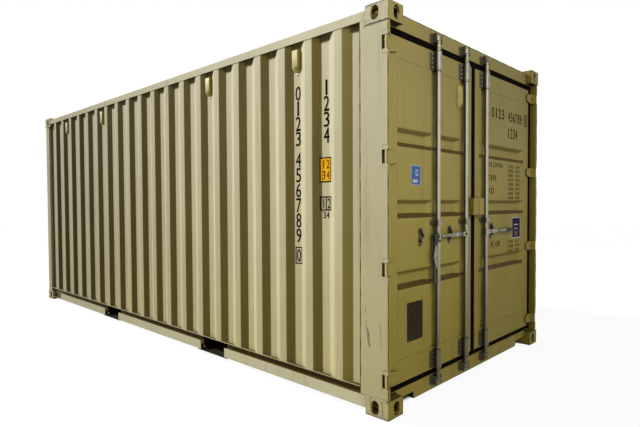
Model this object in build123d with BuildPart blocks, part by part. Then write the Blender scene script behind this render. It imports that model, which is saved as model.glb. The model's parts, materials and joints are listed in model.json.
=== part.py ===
"""Twenty-foot dry freight container with two rear doors.

Millimetres. The origin is on the ground under the middle, X runs to the doors, Z is up.
Like pieces are built once at +Y and mirrored."""
import os

from build123d import *

os.makedirs("parts", exist_ok=True)

# Overall size, a 1CC box
length = 6058
width = 2438
height = 2591
end_x = length / 2
side_y = width / 2

# Corner castings, with the middle of each slot and hole measured in from the outer faces
casting_length = 178
casting_width = 162
casting_height = 118
casting_plate = 28.6
casting_lid = 12
casting_wall = 16
casting_inner_wall = 13
aperture_inset_x = 102.5
aperture_inset_y = 89.5
aperture_length = 124
aperture_width = 63.5
hole_height = 86
hole_width = 60
hole_corner = 19
rail_half_length = end_x - casting_length
casting_inner_y = side_y - casting_width

# Skins, set in from the castings
side_inset = 5
end_inset = 6
post_steel = 6
skin_y = side_y - side_inset
post_face_x = end_x - end_inset

# Rear posts: an outer plate bent round the corner and a channel behind it
post_side_width = 217
post_flange_width = 27
post_flange_edge_y = skin_y - post_flange_width
rear_post_side_edge = post_face_x - post_side_width
channel_depth = 113
channel_width = 44
channel_steel = 12
channel_set_back = 108
channel_inner_y = skin_y - channel_width
channel_front_x = post_face_x - channel_set_back

# Front posts
front_post_side_width = 119
front_post_return = 35
front_post_face_width = 114
front_post_return_depth = 50
front_post_side_edge = post_face_x - front_post_side_width
front_post_return_y = skin_y - front_post_return
front_post_inner_y = skin_y - front_post_face_width

# Side rails
top_rail_size = 60
top_rail_steel = 3
roof_drop = 26
top_rail_top = height - roof_drop
top_rail_bottom = top_rail_top - top_rail_size
bottom_rail_rise = 48
bottom_rail_top = casting_height + bottom_rail_rise
bottom_rail_bottom = 36
bottom_rail_steel = 5
bottom_rail_depth = 33
bottom_rail_flange = 54
lip_height = 80
lip_set_back = 294
bottom_rail_web_y = skin_y - bottom_rail_depth
bottom_rail_flange_y = skin_y - bottom_rail_flange
lip_top = bottom_rail_bottom + lip_height
lip_start_x = lip_set_back - rail_half_length

# Corrugated side walls
wall_inset = 3
wall_depth = 30
wall_steel = 2
wall_pitch = 278
wall_flat = 72
wall_slope = 68
wall_rear_flat = 82
wall_outer_y = skin_y - wall_inset
wall_rear_x = channel_front_x - channel_depth
wall_last_foot_x = wall_rear_x - wall_rear_flat
wall_ridges = int((wall_last_foot_x + front_post_side_edge) // wall_pitch)

# Front wall
front_pitch = 250
front_depth = 45.6
front_slope = 18
front_flat = 110
front_steel = 2
front_wall_inset = 2
front_beam_inset = 4
front_sill_lap = 20
front_ridges = int(2 * front_post_inner_y // front_pitch)
front_face_x = front_wall_inset - post_face_x
front_beam_face_x = front_beam_inset - post_face_x
front_sill_back_x = -rail_half_length - front_sill_lap

# Door face, header and sill
door_inset = 49
leaf_depth = 50
frame_depth = 94
stop_gap = 12
header_drop = 128
stop_step = 33
sill_rise = 18
sill_bottom = 26
sill_notch_height = 48
sill_notch_width = 207
beam_steel = 6
door_face_x = post_face_x - door_inset
door_back_x = door_face_x - leaf_depth
frame_back_x = door_face_x - frame_depth
stop_x = door_back_x - stop_gap
header_bottom = height - header_drop
header_stop_bottom = header_bottom - stop_step
sill_top = casting_height + sill_rise
sill_notch_top = sill_bottom + sill_notch_height
sill_notch_end_y = casting_inner_y - sill_notch_width

# Base
floor_rise = 52
floor_thickness = 28
floor_gap = 2
floor_joint = 3
floor_bays = 5
floor_top = casting_height + floor_rise
floor_half_width = bottom_rail_flange_y - floor_gap
member_set_back = 71
member_pitch = 291
member_height = 104
member_flange = 45
member_steel = 4
member_run = 2 * rail_half_length - member_set_back - member_flange
member_count = int(member_run // member_pitch) + 1
pocket_middle_x = 102
pocket_pitch = 2050
pocket_width = 360
pocket_steel = 6
strap_width = 200
strap_steel = 6
strap_overlap = 40

# Roof
roof_steel = 2
roof_end_gap = 1
roof_side_gap = 24
roof_seat = 8
trough_pitch = 209
trough_width = 118
trough_end_gap = 70
trough_depth = 20
trough_taper = 34
roof_block = 30
corner_plate_length = 250
corner_plate_width = 290
corner_plate_steel = 3
roof_end_x = rail_half_length - roof_end_gap
roof_half_width = skin_y - roof_side_gap
header_flange_x = roof_end_x - roof_seat
trough_half_length = roof_half_width - trough_end_gap
trough_run = 2 * (roof_end_x - corner_plate_length) - trough_width
trough_count = int(trough_run // trough_pitch) + 1

# Door leaves
leaf_side_gap = 65
leaf_inner_y = 31
leaf_top_gap = 45
leaf_bottom_gap = 36
outer_stile_width = 80
inner_stile_width = 75
leaf_top_rail = 137
leaf_bottom_rail = 155
leaf_steel = 4
panel_steel = 2
leaf_outer_y = post_flange_edge_y - leaf_side_gap
leaf_top = header_bottom - leaf_top_gap
leaf_bottom = sill_top + leaf_bottom_gap
top_rail_line = leaf_top - leaf_top_rail
bottom_rail_line = leaf_bottom + leaf_bottom_rail
panel_outer_y = leaf_outer_y - outer_stile_width
panel_inner_y = leaf_inner_y + inner_stile_width

# Rods across the leaves, and the pressed recesses between them
outer_rod_y = 586
inner_rod_y = 172
rod_standoff = 30
rod_x = door_face_x + rod_standoff
recess_pitch = 467
recess_rise = 18
recess_height = 120
recess_depth = 36
recess_taper = 34
recess_end_gap = 12
recess_rod_gap = 81
recess_rod_lap = 22
recess_middle = (leaf_top + leaf_bottom) / 2 + recess_rise
recess_heights = (recess_middle + recess_pitch, recess_middle, recess_middle - recess_pitch)
recess_end_y = panel_outer_y - recess_end_gap
recess_start_y = inner_rod_y + recess_rod_lap
panel_block = 44
groove_depth = 14
groove_width = 72
groove_taper = 40

# Seals
seal_inset = 4
seal_thickness = 20
seal_side_gap = 7
seal_middle_y = 4
seal_gap = 5
seal_front_x = door_face_x - seal_inset
seal_back_x = seal_front_x - seal_thickness
seal_outer_y = post_flange_edge_y - seal_side_gap

# Hinges
hinge_count = 4
hinge_end_low = 68
hinge_end_high = 78
pin_inset_x = 14
pin_inset_y = 13.5
pin_radius = 8
running_gap = 0.1
knuckle_half = 13
knuckle_corner = 5
blade_height = 84
blade_tip_height = 54
blade_thickness = 16
blade_lap = 60
blade_bend = 30
blade_root = 8
lug_height = 28
hinge_play = 0.5
lug_back = 24
side_notch = 30
leg_notch = 43
pin_x = post_face_x - pin_inset_x
pin_y = skin_y - pin_inset_y
hinge_low = leaf_bottom + hinge_end_low
hinge_pitch = (leaf_top - hinge_end_high - hinge_low) / (hinge_count - 1)
hinge_heights = [hinge_low + index * hinge_pitch for index in range(hinge_count)]
blade_tip_y = leaf_outer_y - blade_lap

# Lock rods, brackets, cams and keepers
rod_radius = 17
sleeve_radius = 24
sleeve_sides = 12
sleeve_height = 120
sleeve_end = 74
clamp_height = 30
clamp_level = 1213
clamp_corner = 8
bracket_plate = 6
bracket_reach = 62
bracket_side = 24
collar_radius = 22
collar_sides = 12
collar_height = 9
collar_gap = 0.5
cam_drop = 39
cam_lift = 36
cam_height = 30
keeper_height = 64
keeper_gap = 33
keeper_root = 12
keeper_tip = 5
keeper_foot = 18
keeper_reach = 40
keeper_plate = 3
sleeve_heights = (leaf_bottom + sleeve_end, leaf_top - sleeve_end)
cam_levels = (sill_top - cam_drop, header_bottom + cam_lift)

# Handles
hub_level = 1117
hub_width = 40
hub_corner = 9
hub_height = 46
handle_offset = 46
cheek_width = 34
cheek_corner = 9
cheek_steel = 6
handle_thickness = 10
handle_gap = 0.5
handle_pin_radius = 6
eye_half = 18
eye_corner = 7
waist_reach = 40
waist_half = 13
belly_reach = 100
belly_half = 20
blade_length = 194
blade_end_half = 12
grip_radius = 12
grip_sides = 12
grip_lap = 4
handle_end_gap = 21
right_handle_length = 495
handle_length = outer_rod_y - inner_rod_y - handle_offset - rod_radius - handle_end_gap

# Handle retainers, set out from the rods
outer_retainer_offset = 190
inner_retainer_offset = 208
right_retainer_offset = 152
retainer_height = 124
retainer_width = 30
retainer_corner = 10
retainer_steel = 6
retainer_boss = 18
retainer_boss_rise = 45
retainer_reach = 12
retainer_arm_width = 11
retainer_arm_side = 38
retainer_arm_drop = 44
retainer_peg_drop = 26
retainer_peg = 12

# Ventilator covers
vent_width = 66
vent_height = 165
vent_depth = 26
vent_drop = 121
vents_from_end = (1, 5)
last_hollow = wall_ridges - 2
door_vent_offset = 59
door_vent_drop = 270
door_vent_width = 74
door_vent_height = 196
vent_level = top_rail_bottom - vent_drop
door_vent_y = inner_rod_y + door_vent_offset
door_vent_level = leaf_top - door_vent_drop

# Lock box
box_half_width = 90
box_split = 3
box_bottom = 1258
box_height = 132
box_depth = 54
box_steel = 4


def wave(first, pitch, flat, slope, count, out, depth):
    """Corner points of a corrugated line: each ridge has a flat at out and a foot at out - depth."""
    points = []
    for ridge in range(count):
        start = first + ridge * pitch
        points += [
            (start - slope, out - depth),
            (start, out),
            (start + flat, out),
            (start + flat + slope, out - depth),
        ]
    return points


def thickened(line, steel):
    """The outline of a sheet: the line, and the line set back by its thickness."""
    return line + [(along, across - steel) for along, across in reversed(line)]


# Bottom corner castings: hollow, with a long slot below and an upright hole in both outer faces
casting_x = end_x - casting_length / 2
casting_y = side_y - casting_width / 2
hole_x = end_x - aperture_inset_x
hole_y = side_y - aperture_inset_y
with BuildPart() as bottom_castings:
    with BuildSketch(Plane.XY):
        with Locations((casting_x, casting_y)):
            Rectangle(casting_length, casting_width)
    extrude(amount=casting_height)
    with BuildSketch(Plane.XY.offset(casting_plate)):
        with Locations((end_x - casting_wall, side_y - casting_wall)):
            Rectangle(
                casting_length - casting_wall - casting_inner_wall,
                casting_width - casting_wall - casting_inner_wall,
                align=(Align.MAX, Align.MAX),
            )
    extrude(amount=casting_height - casting_plate - casting_lid, mode=Mode.SUBTRACT)
    with BuildSketch(Plane.XY):
        with Locations((hole_x, hole_y)):
            SlotOverall(aperture_length, aperture_width)
    extrude(amount=casting_plate, mode=Mode.SUBTRACT)
    with BuildSketch(Plane.YZ.offset(end_x)) as end_hole:
        with Locations((hole_y, casting_height / 2)):
            Rectangle(hole_width, hole_height)
        chamfer(end_hole.vertices(), hole_corner)
    extrude(amount=-casting_wall, mode=Mode.SUBTRACT)
    with BuildSketch(Plane.XZ.offset(-side_y)) as side_hole:
        with Locations((hole_x, casting_height / 2)):
            Rectangle(hole_width, hole_height)
        chamfer(side_hole.vertices(), hole_corner)
    extrude(amount=casting_wall, mode=Mode.SUBTRACT)
    mirror(about=Plane.YZ)
    mirror(about=Plane.XZ)
bottom_castings.part.label = "bottom_castings"
export_step(bottom_castings.part, "parts/bottom_castings.step")

# Top corner castings: the same castings, slot up
with BuildPart() as top_castings:
    add(bottom_castings.part.mirror(Plane.XY.offset(height / 2)))
top_castings.part.label = "top_castings"
export_step(top_castings.part, "parts/top_castings.step")

# Rear corner posts: pressed outer plate, inner channel, corner cut away at each hinge
post_bottom = casting_height
post_height = height - 2 * casting_height
notch_height = blade_height + 2 * hinge_play
with BuildPart() as rear_posts:
    with BuildSketch(Plane.XY.offset(post_bottom)):
        with BuildLine():
            Polyline(
                (rear_post_side_edge, skin_y - post_steel),
                (rear_post_side_edge, skin_y),
                (post_face_x, skin_y),
                (post_face_x, post_flange_edge_y),
                (channel_front_x, post_flange_edge_y),
                (channel_front_x, post_flange_edge_y + post_steel),
                (post_face_x - post_steel, post_flange_edge_y + post_steel),
                (post_face_x - post_steel, skin_y - post_steel),
                close=True,
            )
        make_face()
        with BuildLine():
            Polyline(
                (channel_front_x, skin_y - post_steel),
                (channel_front_x, channel_inner_y),
                (channel_front_x - channel_depth, channel_inner_y),
                (channel_front_x - channel_depth, skin_y - post_steel),
                (channel_front_x - channel_depth + channel_steel, skin_y - post_steel),
                (channel_front_x - channel_depth + channel_steel, channel_inner_y + channel_steel),
                (channel_front_x - channel_steel, channel_inner_y + channel_steel),
                (channel_front_x - channel_steel, skin_y - post_steel),
                close=True,
            )
        make_face()
    extrude(amount=top_rail_bottom - post_bottom)
    with BuildSketch(Plane.XY.offset(post_bottom + post_height)):
        with Locations((rail_half_length, side_y)):
            Rectangle(casting_length, casting_width, align=(Align.MIN, Align.MAX))
    extrude(amount=casting_height, mode=Mode.SUBTRACT)
    for level in hinge_heights:
        with BuildSketch(Plane.XY.offset(level - notch_height / 2)):
            with Locations((pin_x - side_notch, skin_y)):
                Rectangle(
                    post_face_x - pin_x + side_notch,
                    skin_y - post_flange_edge_y,
                    align=(Align.MIN, Align.MAX),
                )
            with Locations((pin_x - leg_notch, post_flange_edge_y)):
                Rectangle(
                    post_face_x - pin_x + leg_notch, post_steel, align=(Align.MIN, Align.MIN)
                )
        extrude(amount=notch_height, mode=Mode.SUBTRACT)
        with BuildSketch(Plane.XY.offset(level - notch_height / 2 - lug_height)):
            with Locations((pin_x - lug_back, skin_y)):
                Rectangle(
                    post_face_x - pin_x + lug_back,
                    post_flange_width,
                    align=(Align.MIN, Align.MAX),
                )
        extrude(amount=notch_height + 2 * lug_height, mode=Mode.SUBTRACT)
    mirror(about=Plane.XZ)
rear_posts.part.label = "rear_posts"
export_step(rear_posts.part, "parts/rear_posts.step")

# Hinge lugs: blocks that fill the post's corner above and below each notch, with the pin between
with BuildPart() as hinge_lugs:
    for level in hinge_heights:
        for foot in (level - notch_height / 2 - lug_height, level + notch_height / 2):
            with BuildSketch(Plane.XY.offset(foot)):
                with Locations((pin_x - lug_back, skin_y)):
                    Rectangle(
                        post_face_x - pin_x + lug_back,
                        post_flange_width,
                        align=(Align.MIN, Align.MAX),
                    )
            extrude(amount=lug_height)
        with BuildSketch(Plane.XY.offset(level - notch_height / 2)):
            with Locations((pin_x, pin_y)):
                Circle(pin_radius)
        extrude(amount=notch_height)
    mirror(about=Plane.XZ)
hinge_lugs.part.label = "hinge_lugs"
export_step(hinge_lugs.part, "parts/hinge_lugs.step")

# Front corner posts: one open pressed section each
with BuildPart() as front_posts:
    with BuildSketch(Plane.XY.offset(post_bottom)):
        with BuildLine():
            Polyline(
                (-front_post_side_edge, front_post_return_y),
                (-front_post_side_edge, skin_y),
                (-post_face_x, skin_y),
                (-post_face_x, front_post_inner_y),
                (-post_face_x + front_post_return_depth, front_post_inner_y),
                (-post_face_x + front_post_return_depth, front_post_inner_y + post_steel),
                (-post_face_x + post_steel, front_post_inner_y + post_steel),
                (-post_face_x + post_steel, skin_y - post_steel),
                (-front_post_side_edge - post_steel, skin_y - post_steel),
                (-front_post_side_edge - post_steel, front_post_return_y),
                close=True,
            )
        make_face()
    extrude(amount=post_height)
    mirror(about=Plane.XZ)
front_posts.part.label = "front_posts"
export_step(front_posts.part, "parts/front_posts.step")

# Top side rails: square tubes between the castings
with BuildPart() as top_side_rails:
    with BuildSketch(Plane.YZ.offset(-rail_half_length)):
        with Locations((skin_y - top_rail_size / 2, top_rail_top - top_rail_size / 2)):
            Rectangle(top_rail_size, top_rail_size)
            Rectangle(
                top_rail_size - 2 * top_rail_steel,
                top_rail_size - 2 * top_rail_steel,
                mode=Mode.SUBTRACT,
            )
    extrude(amount=2 * rail_half_length)
    mirror(about=Plane.XZ)
top_side_rails.part.label = "top_side_rails"
export_step(top_side_rails.part, "parts/top_side_rails.step")

# Bottom side rails: channels open to the outside, with a standing lower lip and pocket cut-outs
pocket_xs = (pocket_middle_x - pocket_pitch / 2, pocket_middle_x + pocket_pitch / 2)
with BuildPart() as bottom_side_rails:
    with BuildSketch(Plane.YZ.offset(-front_post_side_edge)):
        with BuildLine():
            Polyline(
                (skin_y, bottom_rail_top),
                (bottom_rail_flange_y, bottom_rail_top),
                (bottom_rail_flange_y, bottom_rail_top - bottom_rail_steel),
                (bottom_rail_web_y - bottom_rail_steel, bottom_rail_top - bottom_rail_steel),
                (bottom_rail_web_y - bottom_rail_steel, bottom_rail_bottom),
                (skin_y, bottom_rail_bottom),
                (skin_y, lip_top),
                (skin_y - bottom_rail_steel, lip_top),
                (skin_y - bottom_rail_steel, bottom_rail_bottom + bottom_rail_steel),
                (bottom_rail_web_y, bottom_rail_bottom + bottom_rail_steel),
                (bottom_rail_web_y, bottom_rail_top - bottom_rail_steel),
                (skin_y, bottom_rail_top - bottom_rail_steel),
                close=True,
            )
        make_face()
    extrude(amount=front_post_side_edge + rail_half_length)
    with BuildSketch(Plane.XZ.offset(-skin_y)):
        with Locations((-rail_half_length, bottom_rail_bottom + bottom_rail_steel)):
            Rectangle(
                lip_start_x + rail_half_length,
                lip_top - bottom_rail_bottom,
                align=(Align.MIN, Align.MIN),
            )
    extrude(amount=skin_y - bottom_rail_web_y, mode=Mode.SUBTRACT)
    with BuildSketch(Plane.XZ.offset(-skin_y)):
        with Locations((-rail_half_length, post_bottom)):
            Rectangle(casting_length, casting_height, align=(Align.MAX, Align.MAX))
        with Locations((wall_rear_x, post_bottom)):
            Rectangle(casting_length, casting_height, align=(Align.MIN, Align.MIN))
        for x in pocket_xs:
            with Locations((x, bottom_rail_bottom)):
                Rectangle(
                    pocket_width,
                    floor_top - floor_thickness - bottom_rail_bottom,
                    align=(Align.CENTER, Align.MIN),
                )
    extrude(amount=skin_y - bottom_rail_flange_y, mode=Mode.SUBTRACT)
    mirror(about=Plane.XZ)
bottom_side_rails.part.label = "bottom_side_rails"
export_step(bottom_side_rails.part, "parts/bottom_side_rails.step")

# Corrugated side walls: one pressed line, between the posts and the rails
first_ridge = wall_last_foot_x - wall_slope - wall_flat - (wall_ridges - 1) * wall_pitch
wall_line = (
    [(-front_post_side_edge, wall_outer_y - wall_depth)]
    + wave(
        first_ridge, wall_pitch, wall_flat, wall_slope, wall_ridges, wall_outer_y, wall_depth
    )
    + [(wall_rear_x, wall_outer_y - wall_depth)]
)
with BuildPart() as left_wall:
    with BuildSketch(Plane.XY.offset(bottom_rail_top)):
        with BuildLine():
            Polyline(*[(x, -y) for x, y in thickened(wall_line, wall_steel)], close=True)
        make_face()
    extrude(amount=top_rail_bottom - bottom_rail_top)
    with BuildSketch(Plane.XZ.offset(side_y)):
        with Locations((-rail_half_length, top_rail_bottom)):
            Rectangle(
                casting_length,
                top_rail_bottom - post_bottom - post_height,
                align=(Align.MAX, Align.MAX),
            )
    extrude(amount=-casting_width, mode=Mode.SUBTRACT)
left_wall.part.label = "left_wall"
export_step(left_wall.part, "parts/left_wall.step")

with BuildPart() as right_wall:
    add(left_wall.part.mirror(Plane.XZ))
right_wall.part.label = "right_wall"
export_step(right_wall.part, "parts/right_wall.step")

# Rear header and sill: closed beams with a step for the doors to close against
header_top = top_rail_top
with BuildPart() as rear_header:
    with BuildSketch(Plane.XZ.offset(-casting_inner_y)):
        with BuildLine():
            Polyline(
                (door_face_x, header_bottom),
                (door_face_x, header_top),
                (frame_back_x, header_top),
                (frame_back_x, header_stop_bottom),
                (stop_x, header_stop_bottom),
                (stop_x, header_bottom),
                close=True,
            )
        make_face()
        offset(amount=-beam_steel, mode=Mode.SUBTRACT)
        with Locations((header_flange_x, header_top)):
            Rectangle(frame_back_x - header_flange_x, beam_steel, align=(Align.MIN, Align.MAX))
    extrude(amount=2 * casting_inner_y)
    with BuildSketch(Plane.XZ.offset(-post_flange_edge_y)):
        with Locations((channel_front_x, header_bottom)):
            Rectangle(
                door_face_x - channel_front_x, beam_steel, align=(Align.MIN, Align.MIN)
            )
    extrude(amount=2 * post_flange_edge_y)
rear_header.part.label = "rear_header"
export_step(rear_header.part, "parts/rear_header.step")

with BuildPart() as rear_sill:
    with BuildSketch(Plane.XZ.offset(-casting_inner_y)):
        with BuildLine():
            Polyline(
                (door_face_x, sill_bottom),
                (door_face_x, sill_top),
                (stop_x, sill_top),
                (stop_x, floor_top),
                (frame_back_x, floor_top),
                (frame_back_x, sill_bottom),
                close=True,
            )
        make_face()
        offset(amount=-beam_steel, mode=Mode.SUBTRACT)
    extrude(amount=2 * casting_inner_y)
    with BuildSketch(Plane.YZ.offset(door_face_x)):
        for side in (-1, 1):
            with Locations((side * (sill_notch_end_y + casting_inner_y) / 2, sill_bottom)):
                Rectangle(
                    casting_inner_y - sill_notch_end_y,
                    sill_notch_top - sill_bottom,
                    align=(Align.CENTER, Align.MIN),
                )
    extrude(amount=-(door_face_x - frame_back_x), mode=Mode.SUBTRACT)
    with BuildSketch(Plane.XZ.offset(-post_flange_edge_y)):
        with Locations((channel_front_x, sill_top)):
            Rectangle(
                door_face_x - channel_front_x, beam_steel, align=(Align.MIN, Align.MAX)
            )
    extrude(amount=2 * post_flange_edge_y)
rear_sill.part.label = "rear_sill"
export_step(rear_sill.part, "parts/rear_sill.step")

# Front header and sill: tubes between the castings
front_header_bottom = post_bottom + post_height
with BuildPart() as front_header:
    with BuildSketch(Plane.XZ.offset(-casting_inner_y)):
        with Locations((front_beam_face_x, front_header_bottom)):
            Rectangle(
                -header_flange_x - front_beam_face_x,
                header_top - front_header_bottom,
                align=(Align.MIN, Align.MIN),
            )
        offset(amount=-post_steel, mode=Mode.SUBTRACT)
    extrude(amount=2 * casting_inner_y)
front_header.part.label = "front_header"
export_step(front_header.part, "parts/front_header.step")

with BuildPart() as front_sill:
    with BuildSketch(Plane.XZ.offset(-casting_inner_y)):
        with Locations((front_beam_face_x, bottom_rail_bottom)):
            Rectangle(
                front_sill_back_x - front_beam_face_x,
                post_bottom - bottom_rail_bottom,
                align=(Align.MIN, Align.MIN),
            )
        offset(amount=-post_steel, mode=Mode.SUBTRACT)
    extrude(amount=2 * casting_inner_y)
front_sill.part.label = "front_sill"
export_step(front_sill.part, "parts/front_sill.step")

# Front wall: upright corrugations between the front posts
front_first = -((front_ridges - 1) * front_pitch + front_flat) / 2
front_line = (
    [(-front_post_inner_y, -front_face_x - front_depth)]
    + wave(
        front_first,
        front_pitch,
        front_flat,
        front_slope,
        front_ridges,
        -front_face_x,
        front_depth,
    )
    + [(front_post_inner_y, -front_face_x - front_depth)]
)
with BuildPart() as front_wall:
    with BuildSketch(Plane.XY.offset(post_bottom)):
        with BuildLine():
            Polyline(
                *[(-x, y) for y, x in thickened(front_line, front_steel)], close=True
            )
        make_face()
    extrude(amount=front_header_bottom - post_bottom)
front_wall.part.label = "front_wall"
export_step(front_wall.part, "parts/front_wall.step")

# Roof: flat sheet with closed troughs pressed down across it
with BuildPart() as roof:
    with BuildSketch(Plane.XY.offset(top_rail_top + roof_steel)):
        Rectangle(2 * roof_end_x, 2 * roof_half_width)
    extrude(amount=-roof_block)
    with BuildSketch(Plane.XY.offset(top_rail_top + roof_steel)):
        with GridLocations(trough_pitch, 0, trough_count, 1):
            Rectangle(trough_width, 2 * trough_half_length)
    extrude(amount=-trough_depth, taper=trough_taper, mode=Mode.SUBTRACT)
    add(roof.part.moved(Location((0, 0, -roof_steel))), mode=Mode.SUBTRACT)
roof.part.label = "roof"
export_step(roof.part, "parts/roof.step")

# Roof corner plates: doublers beside the top castings
with BuildPart() as roof_corner_plates:
    with BuildSketch(Plane.XY.offset(top_rail_top + roof_steel)):
        with GridLocations(
            2 * roof_end_x - corner_plate_length,
            2 * roof_half_width - corner_plate_width,
            2,
            2,
        ):
            Rectangle(corner_plate_length, corner_plate_width)
    extrude(amount=corner_plate_steel)
roof_corner_plates.part.label = "roof_corner_plates"
export_step(roof_corner_plates.part, "parts/roof_corner_plates.step")

# Cross members: channels under the floor, left out where the fork pockets run
member_top = floor_top - floor_thickness
member_end_y = bottom_rail_web_y - bottom_rail_steel
pocket_clear = pocket_width / 2 + member_flange + pocket_steel
member_xs = [
    x
    for x in (member_set_back - rail_half_length + member_pitch * i for i in range(member_count))
    if all(abs(x + member_flange / 2 - pocket) > pocket_clear for pocket in pocket_xs)
]
with BuildPart() as cross_members:
    with BuildSketch(Plane.XZ.offset(-member_end_y)):
        for x in member_xs:
            with Locations((x, member_top)):
                Rectangle(member_flange, member_height, align=(Align.MIN, Align.MAX))
            with Locations((x + member_steel, member_top - member_steel)):
                Rectangle(
                    member_flange - member_steel,
                    member_height - 2 * member_steel,
                    align=(Align.MIN, Align.MAX),
                    mode=Mode.SUBTRACT,
                )
    extrude(amount=2 * member_end_y)
cross_members.part.label = "cross_members"
export_step(cross_members.part, "parts/cross_members.step")

# Fork pockets: the upright sides of two tunnels
pocket_top = member_top - pocket_steel
with BuildPart() as fork_pockets:
    with BuildSketch(Plane.XZ.offset(-bottom_rail_flange_y)):
        for x in pocket_xs:
            for side in (-1, 1):
                with Locations((x + side * (pocket_width + pocket_steel) / 2, pocket_top)):
                    Rectangle(
                        pocket_steel,
                        pocket_top - bottom_rail_bottom,
                        align=(Align.CENTER, Align.MAX),
                    )
    extrude(amount=2 * bottom_rail_flange_y)
fork_pockets.part.label = "fork_pockets"
export_step(fork_pockets.part, "parts/fork_pockets.step")

# Pocket tops: the plate that closes each tunnel under the floor
with BuildPart() as pocket_tops:
    with BuildSketch(Plane.XZ.offset(-bottom_rail_flange_y)):
        for x in pocket_xs:
            with Locations((x, member_top)):
                Rectangle(
                    pocket_width + 2 * pocket_steel,
                    pocket_steel,
                    align=(Align.CENTER, Align.MAX),
                )
    extrude(amount=2 * bottom_rail_flange_y)
pocket_tops.part.label = "pocket_tops"
export_step(pocket_tops.part, "parts/pocket_tops.step")

# Pocket straps: a plate under each of the four mouths
with BuildPart() as pocket_straps:
    with BuildSketch(Plane.XY.offset(bottom_rail_bottom)):
        for x in pocket_xs:
            with Locations((x, skin_y), (x, strap_width - skin_y)):
                Rectangle(
                    pocket_width + 2 * strap_overlap,
                    strap_width,
                    align=(Align.CENTER, Align.MAX),
                )
    extrude(amount=-strap_steel)
pocket_straps.part.label = "pocket_straps"
export_step(pocket_straps.part, "parts/pocket_straps.step")

# Floor: boards on the cross members
board_length = (frame_back_x - front_sill_back_x - floor_joint * (floor_bays - 1)) / floor_bays
with BuildPart() as floor_boards:
    with BuildSketch(Plane.XY.offset(member_top)):
        with Locations(((front_sill_back_x + frame_back_x) / 2, 0)):
            with GridLocations(
                board_length + floor_joint,
                floor_half_width + floor_joint / 2,
                floor_bays,
                2,
            ):
                Rectangle(board_length, floor_half_width - floor_joint / 2)
    extrude(amount=floor_thickness)
floor_boards.part.label = "floor_boards"
export_step(floor_boards.part, "parts/floor_boards.step")

# Ventilator covers in the wall's hollows
vent_face_y = wall_outer_y - wall_depth
first_hollow_x = first_ridge + (wall_flat + wall_pitch) / 2
with BuildPart() as side_vents:
    with BuildSketch(Plane.XZ.offset(-vent_face_y)):
        for hollow in (*vents_from_end, *(last_hollow - count for count in vents_from_end)):
            with Locations((first_hollow_x + hollow * wall_pitch, vent_level)):
                Rectangle(vent_width, vent_height)
    extrude(amount=-vent_depth)
    mirror(about=Plane.XZ)
side_vents.part.label = "side_vents"
export_step(side_vents.part, "parts/side_vents.step")

# Cam keepers: forks on the header and the sill with tapering ears, one pair for each rod
rod_ys = (-outer_rod_y, -inner_rod_y, inner_rod_y)
keeper_half = [
    (0, keeper_gap + keeper_root + keeper_foot),
    (keeper_plate, keeper_gap + keeper_root + keeper_foot),
    (keeper_plate, keeper_gap + keeper_root),
    (keeper_reach, keeper_gap + keeper_tip),
    (keeper_reach, keeper_gap),
    (keeper_plate, keeper_gap),
]
keeper_line = keeper_half + [(out, -across) for out, across in reversed(keeper_half)]
with BuildPart() as cam_keepers:
    for level in cam_levels:
        with BuildSketch(Plane.XY.offset(level - keeper_height / 2)):
            for y in rod_ys:
                with BuildLine():
                    Polyline(
                        *[(door_face_x + out, y + across) for out, across in keeper_line],
                        close=True,
                    )
                make_face()
        extrude(amount=keeper_height)
cam_keepers.part.label = "cam_keepers"
export_step(cam_keepers.part, "parts/cam_keepers.step")

# Leaf frames: four hollow members, flush at the front
leaf_height = leaf_top - leaf_bottom
with BuildPart() as right_leaf_frame:
    with BuildSketch(Plane.YZ.offset(door_back_x)):
        with Locations((leaf_inner_y, leaf_bottom)):
            Rectangle(leaf_outer_y - leaf_inner_y, leaf_height, align=(Align.MIN, Align.MIN))
        with Locations((panel_inner_y, bottom_rail_line)):
            Rectangle(
                panel_outer_y - panel_inner_y,
                top_rail_line - bottom_rail_line,
                align=(Align.MIN, Align.MIN),
                mode=Mode.SUBTRACT,
            )
    extrude(amount=leaf_depth)
    with BuildSketch(Plane.YZ.offset(door_back_x + leaf_steel)):
        with Locations((leaf_inner_y + leaf_steel, leaf_bottom + leaf_steel)):
            Rectangle(
                leaf_outer_y - leaf_inner_y - 2 * leaf_steel,
                leaf_height - 2 * leaf_steel,
                align=(Align.MIN, Align.MIN),
            )
        with Locations((panel_inner_y - leaf_steel, bottom_rail_line - leaf_steel)):
            Rectangle(
                panel_outer_y - panel_inner_y + 2 * leaf_steel,
                top_rail_line - bottom_rail_line + 2 * leaf_steel,
                align=(Align.MIN, Align.MIN),
                mode=Mode.SUBTRACT,
            )
    extrude(amount=leaf_depth - 2 * leaf_steel, mode=Mode.SUBTRACT)
right_leaf_frame.part.label = "right_leaf_frame"
export_step(right_leaf_frame.part, "parts/right_leaf_frame.step")

with BuildPart() as left_leaf_frame:
    add(right_leaf_frame.part.mirror(Plane.XZ))
left_leaf_frame.part.label = "left_leaf_frame"
export_step(left_leaf_frame.part, "parts/left_leaf_frame.step")

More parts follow.
